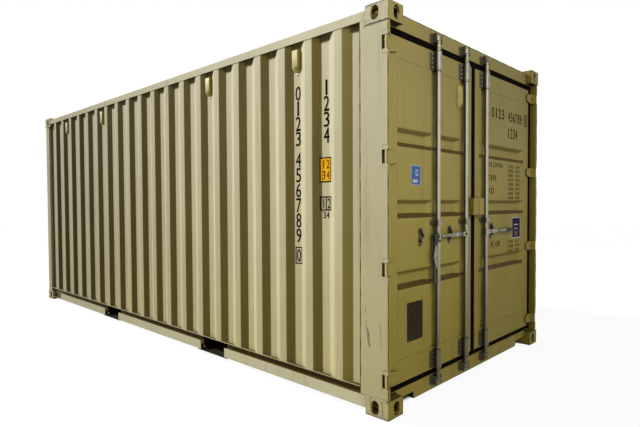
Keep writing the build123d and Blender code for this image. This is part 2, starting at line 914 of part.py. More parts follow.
# Leaf panels: three pressed recesses, broken where the rods pass, and a groove behind each rod
with BuildPart() as right_leaf_panel:
    with BuildSketch(Plane.YZ.offset(door_face_x)):
        with Locations((panel_inner_y, bottom_rail_line)):
            Rectangle(
                panel_outer_y - panel_inner_y,
                top_rail_line - bottom_rail_line,
                align=(Align.MIN, Align.MIN),
            )
    extrude(amount=-panel_block)
    with BuildSketch(Plane.YZ.offset(door_face_x)):
        for level in recess_heights:
            with Locations(((recess_start_y + recess_end_y) / 2, level)):
                Rectangle(recess_end_y - recess_start_y, recess_height)
    extrude(amount=-recess_depth, taper=recess_taper, mode=Mode.SUBTRACT)
    with BuildSketch(Plane.YZ.offset(door_face_x)):
        with Locations((inner_rod_y, bottom_rail_line)):
            Rectangle(
                groove_width, top_rail_line - bottom_rail_line, align=(Align.CENTER, Align.MIN)
            )
    extrude(amount=-groove_depth, taper=groove_taper, mode=Mode.SUBTRACT)
    add(right_leaf_panel.part.moved(Location((-panel_steel, 0, 0))), mode=Mode.SUBTRACT)
right_leaf_panel.part.label = "right_leaf_panel"
export_step(right_leaf_panel.part, "parts/right_leaf_panel.step")

left_recesses = (
    (-recess_end_y, -outer_rod_y - recess_rod_gap),
    (recess_rod_gap - outer_rod_y, -recess_start_y),
)
with BuildPart() as left_leaf_panel:
    with BuildSketch(Plane.YZ.offset(door_face_x)):
        with Locations((-panel_inner_y, bottom_rail_line)):
            Rectangle(
                panel_outer_y - panel_inner_y,
                top_rail_line - bottom_rail_line,
                align=(Align.MAX, Align.MIN),
            )
    extrude(amount=-panel_block)
    with BuildSketch(Plane.YZ.offset(door_face_x)):
        for level in recess_heights:
            for low, high in left_recesses:
                with Locations(((low + high) / 2, level)):
                    Rectangle(high - low, recess_height)
    extrude(amount=-recess_depth, taper=recess_taper, mode=Mode.SUBTRACT)
    with BuildSketch(Plane.YZ.offset(door_face_x)):
        for y in (-outer_rod_y, -inner_rod_y):
            with Locations((y, bottom_rail_line)):
                Rectangle(
                    groove_width,
                    top_rail_line - bottom_rail_line,
                    align=(Align.CENTER, Align.MIN),
                )
    extrude(amount=-groove_depth, taper=groove_taper, mode=Mode.SUBTRACT)
    add(left_leaf_panel.part.moved(Location((-panel_steel, 0, 0))), mode=Mode.SUBTRACT)
left_leaf_panel.part.label = "left_leaf_panel"
export_step(left_leaf_panel.part, "parts/left_leaf_panel.step")

# Seals: a rubber frame round each leaf
seal_top = header_bottom - seal_gap
seal_bottom = sill_top + seal_gap
with BuildPart() as right_seal:
    with BuildSketch(Plane.YZ.offset(seal_back_x)):
        with Locations((seal_middle_y, seal_bottom)):
            Rectangle(
                seal_outer_y - seal_middle_y, seal_top - seal_bottom, align=(Align.MIN, Align.MIN)
            )
        with Locations((leaf_inner_y, leaf_bottom)):
            Rectangle(
                leaf_outer_y - leaf_inner_y,
                leaf_height,
                align=(Align.MIN, Align.MIN),
                mode=Mode.SUBTRACT,
            )
    extrude(amount=seal_front_x - seal_back_x)
right_seal.part.label = "right_seal"
export_step(right_seal.part, "parts/right_seal.step")

with BuildPart() as left_seal:
    add(right_seal.part.mirror(Plane.XZ))
left_seal.part.label = "left_seal"
export_step(left_seal.part, "parts/left_seal.step")

# Hinge blades: a forged arm on the leaf whose knuckle turns on the lugs' pin
blade_front_x = door_face_x + blade_thickness
with BuildPart() as right_hinges:
    for level in hinge_heights:
        with BuildSketch(Plane.XY.offset(level - blade_height / 2)):
            with BuildLine():
                Polyline(
                    (door_face_x, blade_tip_y),
                    (blade_front_x, blade_tip_y),
                    (blade_front_x, pin_y - blade_bend),
                    (pin_x + knuckle_half, pin_y - knuckle_corner),
                    (pin_x + knuckle_half, pin_y + knuckle_corner),
                    (pin_x + knuckle_corner, pin_y + knuckle_half),
                    (pin_x - knuckle_corner, pin_y + knuckle_half),
                    (pin_x - knuckle_half, pin_y + knuckle_corner),
                    (door_face_x, pin_y - blade_root),
                    close=True,
                )
            make_face()
            with Locations((pin_x, pin_y)):
                Circle(pin_radius + running_gap, mode=Mode.SUBTRACT)
        extrude(amount=blade_height)
    with BuildSketch(Plane.YZ.offset(door_face_x)):
        for level in hinge_heights:
            with BuildLine():
                Polyline(
                    (blade_tip_y, level - blade_tip_height / 2),
                    (leaf_outer_y, level - blade_height / 2),
                    (side_y, level - blade_height / 2),
                    (side_y, level + blade_height / 2),
                    (leaf_outer_y, level + blade_height / 2),
                    (blade_tip_y, level + blade_tip_height / 2),
                    close=True,
                )
            make_face()
    extrude(amount=end_x - door_face_x, mode=Mode.INTERSECT)
right_hinges.part.label = "right_hinges"
export_step(right_hinges.part, "parts/right_hinges.step")

with BuildPart() as left_hinges:
    add(right_hinges.part.mirror(Plane.XZ))
left_hinges.part.label = "left_hinges"
export_step(left_hinges.part, "parts/left_hinges.step")


def rod_brackets(ys):
    """Two long half-round straps and a short square guide round each rod, on plates beside it."""
    with BuildPart() as brackets:
        for level in sleeve_heights:
            with BuildSketch(Plane.XY.offset(level - sleeve_height / 2)):
                for y in ys:
                    with Locations((door_face_x, y + bracket_side)):
                        Rectangle(
                            bracket_plate,
                            bracket_side + bracket_reach,
                            align=(Align.MIN, Align.MAX),
                        )
                    with Locations((door_face_x, y)):
                        Rectangle(
                            rod_standoff, 2 * sleeve_radius, align=(Align.MIN, Align.CENTER)
                        )
                    with Locations((rod_x, y)):
                        RegularPolygon(sleeve_radius, sleeve_sides, major_radius=False)
                        Circle(rod_radius + running_gap, mode=Mode.SUBTRACT)
            extrude(amount=sleeve_height)
        with BuildSketch(Plane.XY.offset(clamp_level - clamp_height / 2)):
            for y in ys:
                with BuildLine():
                    Polyline(
                        (door_face_x, y - bracket_reach),
                        (door_face_x + bracket_plate, y - bracket_reach),
                        (door_face_x + bracket_plate, y - sleeve_radius),
                        (rod_x + sleeve_radius - clamp_corner, y - sleeve_radius),
                        (rod_x + sleeve_radius, y - sleeve_radius + clamp_corner),
                        (rod_x + sleeve_radius, y + sleeve_radius - clamp_corner),
                        (rod_x + sleeve_radius - clamp_corner, y + sleeve_radius),
                        (door_face_x, y + sleeve_radius),
                        close=True,
                    )
                make_face()
                with Locations((rod_x, y)):
                    Circle(rod_radius + running_gap, mode=Mode.SUBTRACT)
        extrude(amount=clamp_height)
    return brackets.part


# Rod brackets, on both leaves
with BuildPart() as left_rod_brackets:
    add(rod_brackets(rod_ys[:2]))
left_rod_brackets.part.label = "left_rod_brackets"
export_step(left_rod_brackets.part, "parts/left_rod_brackets.step")

with BuildPart() as right_rod_brackets:
    add(rod_brackets(rod_ys[2:]))
right_rod_brackets.part.label = "right_rod_brackets"
export_step(right_rod_brackets.part, "parts/right_rod_brackets.step")


def handle_retainers(ys):
    """An upright plate with a boss, a catch swung down beside the handle and a lower peg."""
    with BuildPart() as retainers:
        with BuildSketch(Plane.YZ.offset(door_face_x)) as plates:
            with Locations(*[(y, hub_level) for y in ys]):
                Rectangle(retainer_width, retainer_height)
            chamfer(plates.vertices(), retainer_corner)
        extrude(amount=retainer_steel)
        with BuildSketch(Plane.YZ.offset(door_face_x + retainer_steel)):
            for y in ys:
                boss_level = hub_level + retainer_boss_rise
                with Locations((y, boss_level)):
                    Rectangle(retainer_boss, retainer_boss)
                with Locations((y, hub_level - retainer_peg_drop)):
                    Rectangle(retainer_peg, retainer_peg)
                with BuildLine():
                    Polyline(
                        (y, boss_level + retainer_arm_width / 2),
                        (y + retainer_arm_width, boss_level),
                        (y + retainer_arm_side, boss_level - retainer_arm_drop),
                        (y + retainer_arm_side - retainer_arm_width, boss_level - retainer_arm_drop),
                        (y, boss_level - retainer_arm_width / 2),
                        close=True,
                    )
                make_face()
        extrude(amount=retainer_reach)
    return retainers.part


# Handle retainers, on both leaves
with BuildPart() as left_handle_retainers:
    add(
        handle_retainers(
            (-outer_rod_y - outer_retainer_offset, -inner_rod_y - inner_retainer_offset)
        )
    )
left_handle_retainers.part.label = "left_handle_retainers"
export_step(left_handle_retainers.part, "parts/left_handle_retainers.step")

with BuildPart() as right_handle_retainer:
    add(handle_retainers((inner_rod_y + right_retainer_offset,)))
right_handle_retainer.part.label = "right_handle_retainer"
export_step(right_handle_retainer.part, "parts/right_handle_retainer.step")

# Ventilator cover on the left leaf
with BuildPart() as door_vent:
    with BuildSketch(Plane.YZ.offset(door_face_x)):
        with Locations((-door_vent_y, door_vent_level)):
            Rectangle(door_vent_width, door_vent_height)
    extrude(amount=vent_depth)
door_vent.part.label = "door_vent"
export_step(door_vent.part, "parts/door_vent.step")

# Lock box: bent plate in two halves, one on each leaf, open below and behind
with BuildPart() as right_lock_box:
    with BuildSketch(Plane.YZ.offset(door_face_x)):
        with Locations((box_split, box_bottom)):
            Rectangle(box_half_width - box_split, box_height, align=(Align.MIN, Align.MIN))
    extrude(amount=box_depth)
    with BuildSketch(Plane.YZ.offset(door_face_x)):
        with Locations((box_split, box_bottom)):
            Rectangle(
                box_half_width - box_split - box_steel,
                box_height - box_steel,
                align=(Align.MIN, Align.MIN),
            )
    extrude(amount=box_depth - box_steel, mode=Mode.SUBTRACT)
right_lock_box.part.label = "right_lock_box"
export_step(right_lock_box.part, "parts/right_lock_box.step")

with BuildPart() as left_lock_box:
    add(right_lock_box.part.mirror(Plane.XZ))
left_lock_box.part.label = "left_lock_box"
export_step(left_lock_box.part, "parts/left_lock_box.step")


# Lock rods: a cam at each end, rings beside the lower strap and a clevis for the handle
collar_feet = (
    sleeve_heights[0] - sleeve_height / 2 - collar_gap - collar_height,
    sleeve_heights[0] + sleeve_height / 2 + collar_gap,
)
cam_line = [(-15, -14), (15, -14), (21, 0), (17, 18), (8, 26), (-4, 26), (-14, 14)]
cheek_clear = handle_thickness / 2 + handle_gap
cheek_end = handle_offset + cheek_width / 2
with BuildPart() as rod_blank:
    with BuildSketch(Plane.XY.offset(cam_levels[0] + cam_height / 2)):
        Circle(rod_radius)
    extrude(amount=cam_levels[1] - cam_levels[0] - cam_height)
    for foot in collar_feet:
        with BuildSketch(Plane.XY.offset(foot)):
            RegularPolygon(collar_radius, collar_sides)
        extrude(amount=collar_height)
    for level in cam_levels:
        with BuildSketch(Plane.XY.offset(level - cam_height / 2)):
            with BuildLine():
                Polyline(*cam_line, close=True)
            make_face()
        extrude(amount=cam_height)
    with BuildSketch(Plane.XY.offset(hub_level - hub_height / 2)) as hub:
        Rectangle(hub_width, hub_width)
        chamfer(hub.vertices(), hub_corner)
    extrude(amount=hub_height)
    for front in (cheek_clear, -cheek_clear - cheek_steel):
        with BuildSketch(Plane.YZ.offset(front)):
            with BuildLine():
                Polyline(
                    (0, hub_level - cheek_width / 2),
                    (cheek_end - cheek_corner, hub_level - cheek_width / 2),
                    (cheek_end, hub_level - cheek_width / 2 + cheek_corner),
                    (cheek_end, hub_level + cheek_width / 2 - cheek_corner),
                    (cheek_end - cheek_corner, hub_level + cheek_width / 2),
                    (0, hub_level + cheek_width / 2),
                    close=True,
                )
            make_face()
        extrude(amount=cheek_steel)
    with BuildSketch(Plane.YZ.offset(-cheek_clear)):
        with Locations((handle_offset, hub_level)):
            Circle(handle_pin_radius)
    extrude(amount=2 * cheek_clear)

with BuildPart() as right_rod:
    add(rod_blank.part.moved(Location((rod_x, inner_rod_y, 0))))
right_rod.part.label = "right_rod"
export_step(right_rod.part, "parts/right_rod.step")

with BuildPart() as inner_left_rod:
    add(rod_blank.part.mirror(Plane.XZ).moved(Location((rod_x, -inner_rod_y, 0))))
inner_left_rod.part.label = "inner_left_rod"
export_step(inner_left_rod.part, "parts/inner_left_rod.step")

with BuildPart() as outer_left_rod:
    add(rod_blank.part.mirror(Plane.XZ).moved(Location((rod_x, -outer_rod_y, 0))))
outer_left_rod.part.label = "outer_left_rod"
export_step(outer_left_rod.part, "parts/outer_left_rod.step")

blade_half = [
    (-eye_half, eye_corner),
    (-eye_corner, eye_half),
    (eye_corner, eye_half),
    (waist_reach, waist_half),
    (belly_reach, belly_half),
    (blade_length, blade_end_half),
]
blade_line = blade_half + [(along, -across) for along, across in reversed(blade_half)]


def handle_blank(reach):
    """A flat blade with an eye for the pin and a round grip, along +Y from the pin at the origin."""
    with BuildPart() as blank:
        with BuildSketch(Plane.YZ.offset(-handle_thickness / 2)):
            with BuildLine():
                Polyline(*blade_line, close=True)
            make_face()
            Circle(handle_pin_radius + running_gap, mode=Mode.SUBTRACT)
        extrude(amount=handle_thickness)
        with BuildSketch(Plane.XZ.offset(grip_lap - blade_length)):
            RegularPolygon(grip_radius, grip_sides)
        extrude(amount=blade_length - grip_lap - reach)
    return blank.part


# Handles, of which the outer left one hangs open
with BuildPart() as inner_left_handle:
    add(
        handle_blank(handle_length)
        .mirror(Plane.XZ)
        .moved(Location((rod_x, -inner_rod_y - handle_offset, hub_level)))
    )
inner_left_handle.part.label = "inner_left_handle"
export_step(inner_left_handle.part, "parts/inner_left_handle.step")

with BuildPart() as outer_left_handle:
    add(
        handle_blank(handle_length)
        .rotate(Axis.X, -90)
        .moved(Location((rod_x, -outer_rod_y - handle_offset, hub_level)))
    )
outer_left_handle.part.label = "outer_left_handle"
export_step(outer_left_handle.part, "parts/outer_left_handle.step")

with BuildPart() as right_handle:
    add(
        handle_blank(right_handle_length).moved(
            Location((rod_x, inner_rod_y + handle_offset, hub_level))
        )
    )
right_handle.part.label = "right_handle"
export_step(right_handle.part, "parts/right_handle.step")
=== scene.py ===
# %% [markdown]
# Freight container, dressed for its picture
#
# The solid model of the container is already built and packed. This lesson gives it
# what the solids leave out: worn paint, soft bends in the sheet steel, welds, bolts,
# rings, number rows and light. Everything is in metres, in the solid model's own frame,
# so a piece goes exactly where the solids say.

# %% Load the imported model
import json
import math

import bmesh
import bpy
import numpy as np
from mathutils import Matrix, Vector
from mathutils.bvhtree import BVHTree


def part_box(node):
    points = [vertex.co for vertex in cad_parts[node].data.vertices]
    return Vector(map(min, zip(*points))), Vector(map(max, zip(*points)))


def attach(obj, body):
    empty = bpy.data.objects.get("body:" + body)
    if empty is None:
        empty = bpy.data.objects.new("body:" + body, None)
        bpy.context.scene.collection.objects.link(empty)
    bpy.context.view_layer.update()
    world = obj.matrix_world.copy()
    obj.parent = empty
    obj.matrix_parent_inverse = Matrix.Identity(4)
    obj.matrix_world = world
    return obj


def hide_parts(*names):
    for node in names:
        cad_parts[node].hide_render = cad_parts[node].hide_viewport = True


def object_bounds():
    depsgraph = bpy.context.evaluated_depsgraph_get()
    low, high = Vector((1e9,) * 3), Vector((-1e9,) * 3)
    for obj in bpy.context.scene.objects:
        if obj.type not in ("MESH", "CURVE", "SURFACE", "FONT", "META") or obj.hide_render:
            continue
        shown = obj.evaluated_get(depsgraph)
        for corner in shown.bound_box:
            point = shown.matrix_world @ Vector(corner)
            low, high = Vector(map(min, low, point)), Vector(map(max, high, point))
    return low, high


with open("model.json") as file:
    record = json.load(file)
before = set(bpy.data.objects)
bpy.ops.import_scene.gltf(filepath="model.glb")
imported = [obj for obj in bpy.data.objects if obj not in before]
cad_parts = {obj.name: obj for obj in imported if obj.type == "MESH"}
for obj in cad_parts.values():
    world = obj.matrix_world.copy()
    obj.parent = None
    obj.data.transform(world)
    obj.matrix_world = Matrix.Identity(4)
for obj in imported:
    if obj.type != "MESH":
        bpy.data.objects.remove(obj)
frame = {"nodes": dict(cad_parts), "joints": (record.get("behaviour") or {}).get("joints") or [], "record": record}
nodes = frame["nodes"]
cad_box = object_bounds()
mm = 0.001


def corners_of(node):
    """A node's lowest and highest corner, as arrays."""
    return np.array(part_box(node))


def in_scene(name, data):
    """A new object in the scene."""
    thing = bpy.data.objects.new(name, data)
    bpy.context.collection.objects.link(thing)
    return thing


print("solids loaded:", len(nodes))

# %% [markdown]
# The camera stands beside the near corner at head height. A wide lens so close makes the
# near post tall and the long side shrink quickly, which is most of the picture's
# character. Its place was worked out from the container's own corners, so the lens, the
# turn and the small tilt are values here, not guesses made by eye.

# %% Set up the camera
camera_place = (4.815, -3.706, 1.349)
camera_turn = math.radians(133.98)
camera_pitch = math.radians(-1.62)
camera_roll = math.radians(-0.28)
picture_width = 640
picture_height = 427
focal_pixels = 496.0
centre_pixel = (315.8, 218.1)
film_width = 36.0

lens_data = bpy.data.cameras.new("camera")
lens_data.sensor_width = film_width
lens_data.lens = focal_pixels / picture_width * film_width
lens_data.shift_x = (picture_width / 2 - centre_pixel[0]) / picture_width
lens_data.shift_y = (centre_pixel[1] - picture_height / 2) / picture_width
camera = in_scene("camera", lens_data)
camera.matrix_world = (
    Matrix.Translation(camera_place)
    @ Matrix.Rotation(camera_turn - math.pi / 2, 4, "Z")
    @ Matrix.Rotation(camera_pitch + math.pi / 2, 4, "X")
    @ Matrix.Rotation(camera_roll, 4, "Z")
)
bpy.context.scene.camera = camera
print("lens, mm:", round(lens_data.lens, 1))

# %% [markdown]
# Every finish is a small tree of shader nodes. The helpers below each add one step, so a
# finish reads like a recipe: take a noise in the piece's own coordinates, cut it at a
# threshold, and use it to lay one colour over another. Object coordinates keep a pattern
# fixed to its piece when a door swings.

# %% Steps that finishes are made of
even = (1.0, 1.0, 1.0)
finishes = {}


def step(tree, kind, result, inputs, **settings):
    """One shader node: it gets its settings, its inputs get values or the results of other
    nodes, and the result that is asked for comes back."""
    node = tree.nodes.new("ShaderNode" + kind)
    for name, value in settings.items():
        setattr(node, name, value)
    for name, value in inputs.items():
        socket = node.inputs[name]
        if isinstance(value, bpy.types.NodeSocket):
            tree.links.new(value, socket)
        else:
            socket.default_value = (*value, 1.0) if socket.type == "RGBA" else value
    return node.outputs[result]


def white_when_seen(tree):
    """One where a camera, glossy or transmission ray looks, and nought for other light."""
    path = tree.nodes.new("ShaderNodeLightPath")
    seen = path.outputs["Is Camera Ray"]
    for ray in ("Is Glossy Ray", "Is Transmission Ray"):
        seen = step(tree, "Math", 0, {0: seen, 1: path.outputs[ray]}, operation="MAXIMUM")
    return seen


def noise(tree, scale, detail=3.0, stretch=even):
    """Cloudy noise from nought to one, with its blobs 1 / scale metres apart; a stretch makes
    them long or short."""
    own_place = step(tree, "TexCoord", "Object", {})
    place = step(tree, "Mapping", "Vector", {"Vector": own_place, "Scale": stretch})
    return step(tree, "TexNoise", "Fac", {"Vector": place, "Scale": scale, "Detail": detail})


def ramp(tree, value, low, high, most=1.0):
    """Nought below low, most above high, and smooth between them."""
    inputs = {"Value": value, "From Min": low, "From Max": high, "To Max": most}
    return step(tree, "MapRange", "Result", inputs, interpolation_type="SMOOTHSTEP")


def times(tree, product, *others):
    """The product of several values."""
    for other in others:
        product = step(tree, "Math", 0, {0: product, 1: other}, operation="MULTIPLY")
    return product


def coats(tree, colour, *layers):
    """Colours laid one over another; each layer is its amount and its colour."""
    for amount, layer in layers:
        inputs = {"Factor": amount, "A": colour, "B": layer}
        colour = step(tree, "Mix", "Result", inputs, data_type="RGBA")
    return colour


def crevice(tree, reach, low=0.95, high=0.35):
    """Nought in the open, one deep in a corner: how much nearby surface shuts a point in."""
    shut = step(tree, "AmbientOcclusion", "AO", {"Distance": reach}, samples=4)
    return ramp(tree, shut, low, high)


def worn_edge(tree, radius):
    """One on sharp edges: where a rounded normal leans away from the true one."""
    rounded = step(tree, "Bevel", "Normal", {"Radius": radius}, samples=4)
    true = step(tree, "NewGeometry", "Normal", {})
    alike = step(tree, "VectorMath", "Value", {0: rounded, 1: true}, operation="DOT_PRODUCT")
    return ramp(tree, alike, 0.97, 0.80)


def own(tree, what, axis, unsigned=False):
    """One part of the piece's own place, "Object", or of the way it faces, "Normal"."""
    part = step(tree, "SeparateXYZ", axis, {0: step(tree, "TexCoord", what, {})})
    if unsigned:
        part = step(tree, "Math", 0, {0: part}, operation="ABSOLUTE")
    return part


def facing(tree, axis, low, high, either_way=False):
    """One where the piece's own surface faces up along an axis, or either way along it."""
    return ramp(tree, own(tree, "Normal", axis, either_way), low, high)


def fades(tree, axis, near, far, most=1.0, both_ways=False):
    """Most where the place along an axis is near, and nought from far on; both_ways counts
    from the middle of the axis to either side."""
    return ramp(tree, own(tree, "Object", axis, both_ways), far, near, most)


def new_finish(name, roughness, metallic=0.0, gleam=0.5):
    """A new finish with plain values, kept by its name; its tree of nodes comes back."""
    material = finishes[name] = bpy.data.materials.new(name)
    material.use_nodes = True
    surface = material.node_tree.nodes["Principled BSDF"]
    surface.inputs["Roughness"].default_value = roughness
    surface.inputs["Metallic"].default_value = metallic
    surface.inputs["Specular IOR Level"].default_value = gleam
    return material.node_tree


def dress(tree, results, height, depth):
    """Feeds results to the surface shader, with a bump from a height of nought to one that is
    depth metres tall."""
    bump = step(tree, "Bump", "Normal", {"Height": height, "Distance": depth})
    surface = tree.nodes["Principled BSDF"]
    for name, result in (results | {"Normal": bump}).items():
        tree.links.new(result, surface.inputs[name])


print("steps ready")

# %% [markdown]
# A sun rakes along the side from the closed end. It lights the flats of the corrugations
# and leaves the slopes that face the doors in shade. Two large soft lamps stand in front
# of the doors and beside the camera: they are near, so their light falls off down the
# doors and along the side, as hall light does. The world fills the shadows a little. The
# floor and the world look white to the camera and to reflections only, so the pale
# background adds no light.

# %% Light the scene
middle = (0.0, 0.0, 0.0)
sun_towards = (-0.80, -0.37, 0.53)
sun_strength = 5.1
sun_width = math.radians(2.5)
fill_strength = 0.10
lamp_size = 3.0
lamps = {
    "door_lamp": ((6.3, -2.1, 2.9), (2.9, -0.6, 1.3), 84.0),
    "camera_lamp": ((4.6, -7.4, 4.6), (1.2, -1.2, 1.3), 42.0),
    "far_lamp": ((-6.0, 6.0, 6.0), (0.0, 0.0, 1.2), 240.0),
}


def hang(name, kind, place, target, power):
    """A lamp at a place, turned to shine at a target; its own data come back."""
    lamp = bpy.data.lights.new(name, kind)
    lamp.energy = power
    hung = in_scene(name, lamp)
    hung.location = place
    hung.rotation_euler = (Vector(place) - Vector(target)).to_track_quat("Z", "Y").to_euler()
    return lamp


def fill_the_shade():
    """An even world that fills the shade, and is white where it is seen."""
    world = bpy.data.worlds.new("studio")
    world.use_nodes = True
    tree = world.node_tree
    background = tree.nodes["Background"]
    background.inputs["Color"].default_value = (1.0, 1.0, 1.0, 1.0)
    inputs = {"Value": white_when_seen(tree), "To Min": fill_strength, "To Max": 1.0}
    tree.links.new(step(tree, "MapRange", "Result", inputs), background.inputs["Strength"])
    bpy.context.scene.world = world


bpy.context.scene.view_settings.view_transform = "Standard"
hang("sun", "SUN", sun_towards, middle, sun_strength).angle = sun_width
for name, (place, target, power) in lamps.items():
    hang(name, "AREA", place, target, power).size = lamp_size
fill_the_shade()
print("lamps:", 1 + len(lamps), "sun height, degrees:", round(math.degrees(math.asin(sun_towards[2]))))

# %% [markdown]
# The floor is a pale square. Where it is looked at, most of it glows, so that the shadow
# of the container stays light. Under the container it doesn't glow and is painted near
# black, a painted shadow. The light that it gives back comes from a darker grey, like that
# of a worn yard.

# %% Lay the floor
floor_half = 30.0
floor_grey = (0.20, 0.20, 0.18)
floor_white = (1.0, 1.0, 1.0)
floor_painted_shadow = (0.030, 0.028, 0.024)
floor_glow = 0.94
shade_ends = (2.87, 2.94)
shade_sides = (1.04, 1.12)


def floor_paper():
    """White where it is looked at, grey in the light it gives back, and painted dark below
    the container as a painted shadow.
    """
    tree = new_finish("floor_paper", 0.9, gleam=0.1)
    paper = tree.nodes["Principled BSDF"]
    seen = white_when_seen(tree)
    # Below the container the floor is painted near black and doesn't glow: a painted shadow.
    along = fades(tree, "X", *shade_ends, both_ways=True)
    under = times(tree, along, fades(tree, "Y", *shade_sides, both_ways=True))
    tone = coats(tree, floor_grey, (seen, floor_white), (under, floor_painted_shadow))
    tree.links.new(tone, paper.inputs["Base Color"])
    glow = step(tree, "Emission", "Emission", {})
    amount = times(tree, seen, floor_glow, ramp(tree, under, 1.0, 0.0))
    both = step(tree, "MixShader", "Shader", {"Fac": amount, 1: paper.outputs["BSDF"], 2: glow})
    tree.links.new(both, tree.nodes["Material Output"].inputs["Surface"])


floor_paper()
floor_mesh = bpy.data.meshes.new("studio_floor")
floor_corners = floor_half * np.array([(-1, -1, 0), (1, -1, 0), (1, 1, 0), (-1, 1, 0)])
floor_mesh.from_pydata(floor_corners.tolist(), [], [(0, 1, 2, 3)])
floor_mesh.materials.append(finishes["floor_paper"])
floor = in_scene("studio_floor", floor_mesh)
print("floor side, m:", 2 * floor_half)

# %% [markdown]
# The paint is one thick tan coat over primer. On the long sides, the closed end and the
# roof it is painted as a paler beige, a lit copy of the tan with painted sheen, while the
# door end keeps the deeper olive tan, so the finish lays one colour over the other by the
# way a surface faces and by how far out it lies. The slopes that look to the doors, ledges
# that face up, eaves, soffits, corners and seams get painted shade. Grime runs down in
# faint streaks, chips on edges show the dark primer, and a fine orange-peel bump breaks up
# the highlights.

# %% Mix the container paint
sheen_lit_tan = (0.560, 0.512, 0.320)
deep_tan = (0.500, 0.405, 0.120)
shaded_tan = (0.175, 0.122, 0.012)
far_slope_shade = (0.034, 0.025, 0.008)
near_slope_shade_olive = (0.350, 0.280, 0.020)
low_tone_tan = (0.370, 0.280, 0.020)
painted_shade_tan = (0.200, 0.170, 0.090)
ledge_painted_shade = (0.105, 0.064, 0.012)
painted_shade_brown = (0.085, 0.055, 0.010)
grime_and_shade_brown = (0.055, 0.036, 0.012)
primer_and_shade_dark = (0.040, 0.030, 0.020)
rust_red = (0.160, 0.055, 0.024)
skin_inset = 50 * mm
tall_streaks = (16.0, 16.0, 0.9)
short_streaks = (55.0, 55.0, 4.0)
recess_levels = np.array((1780, 1313, 846)) * mm


def tan_by_place(tree, inside, outer, low_tone, inner_painted_shade):
    """Deep tan on the door end, and a paler lit copy with painted sheen on the long sides, the
    closed end and the roof; both darker and more saturated towards the bottom, with painted
    shade at the top of the door end and on its sideways faces, towards the far end of the
    side and on the post's side face; inner painted shade browns what lies inside the skin."""
    # Door end: darker and more saturated towards the bottom, painted shade at the top and on faces that turn
    # sideways.
    end = coats(
        tree, deep_tan,
        (fades(tree, "Z", 0.2, 2.0, 0.6 * low_tone), low_tone_tan),
        (fades(tree, "Z", 2.5, 1.2, 0.30), painted_shade_tan),
        (times(tree, facing(tree, "Y", 0.45, 0.85, True), 0.78), shaded_tan),
    )
    # Long sides: a paler lit copy with painted sheen, darker and more saturated towards the bottom, with painted
    # shade towards the far end and on the post's side face.
    side = coats(
        tree, sheen_lit_tan,
        (fades(tree, "Z", 0.1, 1.9, 0.30 * low_tone), low_tone_tan),
        (fades(tree, "X", -3.0, 2.2, 0.34), painted_shade_tan),
        (fades(tree, "X", 2.84, 2.78, 0.17), painted_shade_tan),
    )
    turned_out = times(tree, own(tree, "Normal", "Y"), own(tree, "Object", "Y"))
    # Faces inside the skin, such as the rail's recessed web, take painted shade.
    inner_shade_layer = [(times(tree, inside, inner_painted_shade), painted_shade_brown)] if inner_painted_shade else []
    return coats(
        tree, end,
        (times(tree, ramp(tree, turned_out, 0.5, 1.0), outer), side),
        *inner_shade_layer,
        (fades(tree, "X", -2.95, -2.80), side),
        (times(tree, facing(tree, "Z", 0.5, 0.9), fades(tree, "Z", 2.45, 2.35)), side),
    )


def shade_and_dirt_on_slopes(tree, colour, outer):
    """Painted shade, with some dirt, on the slopes of the long sides that look to the doors:
    deepest towards the far end, and olive on the slope nearest the post.
    """
    slope = times(tree, facing(tree, "X", 0.12, 0.34), facing(tree, "Y", 0.30, 0.60, True), outer)
    # The slopes that face the doors are painted darker: painted shade.
    return coats(
        tree, colour,
        (times(tree, slope, 0.62), shaded_tan),
        (times(tree, slope, fades(tree, "X", 2.45, 2.7, 0.72)), shaded_tan),
        (times(tree, slope, fades(tree, "X", -2.6, 1.6, 0.8)), far_slope_shade),
        (times(tree, slope, fades(tree, "X", 2.70, 2.60, 0.5)), near_slope_shade_olive),
    )


def shade_in_recesses(tree, colour, levels):
    """Painted shade on the lower edge of each pressed recess, as far as the panel is sunk."""
    sunk = fades(tree, "X", 2.970, 2.973, 0.9)
    bands = [
        times(tree, fades(tree, "Z", level - 0.054, level - 0.060),
              fades(tree, "Z", level - 0.034, level - 0.028), sunk)
        for level in levels
    ]
    return coats(tree, colour, *((band, ledge_painted_shade) for band in bands))


def shade_in_hollows(tree, colour):
    """Brown shade in the hollows of a side wall, below the rail and beside the front post."""
    low, high = corners_of("left_wall")
    hollow = fades(tree, "Y", 1.184, 1.192, 0.85, True)
    below_rail = fades(tree, "Z", high[2] - 30 * mm, high[2] - 48 * mm)
    by_post = fades(tree, "X", low[0] + 60 * mm, low[0] + 75 * mm)
    layers = [(times(tree, hollow, part), painted_shade_brown) for part in (below_rail, by_post)]
    return coats(tree, colour, *layers)


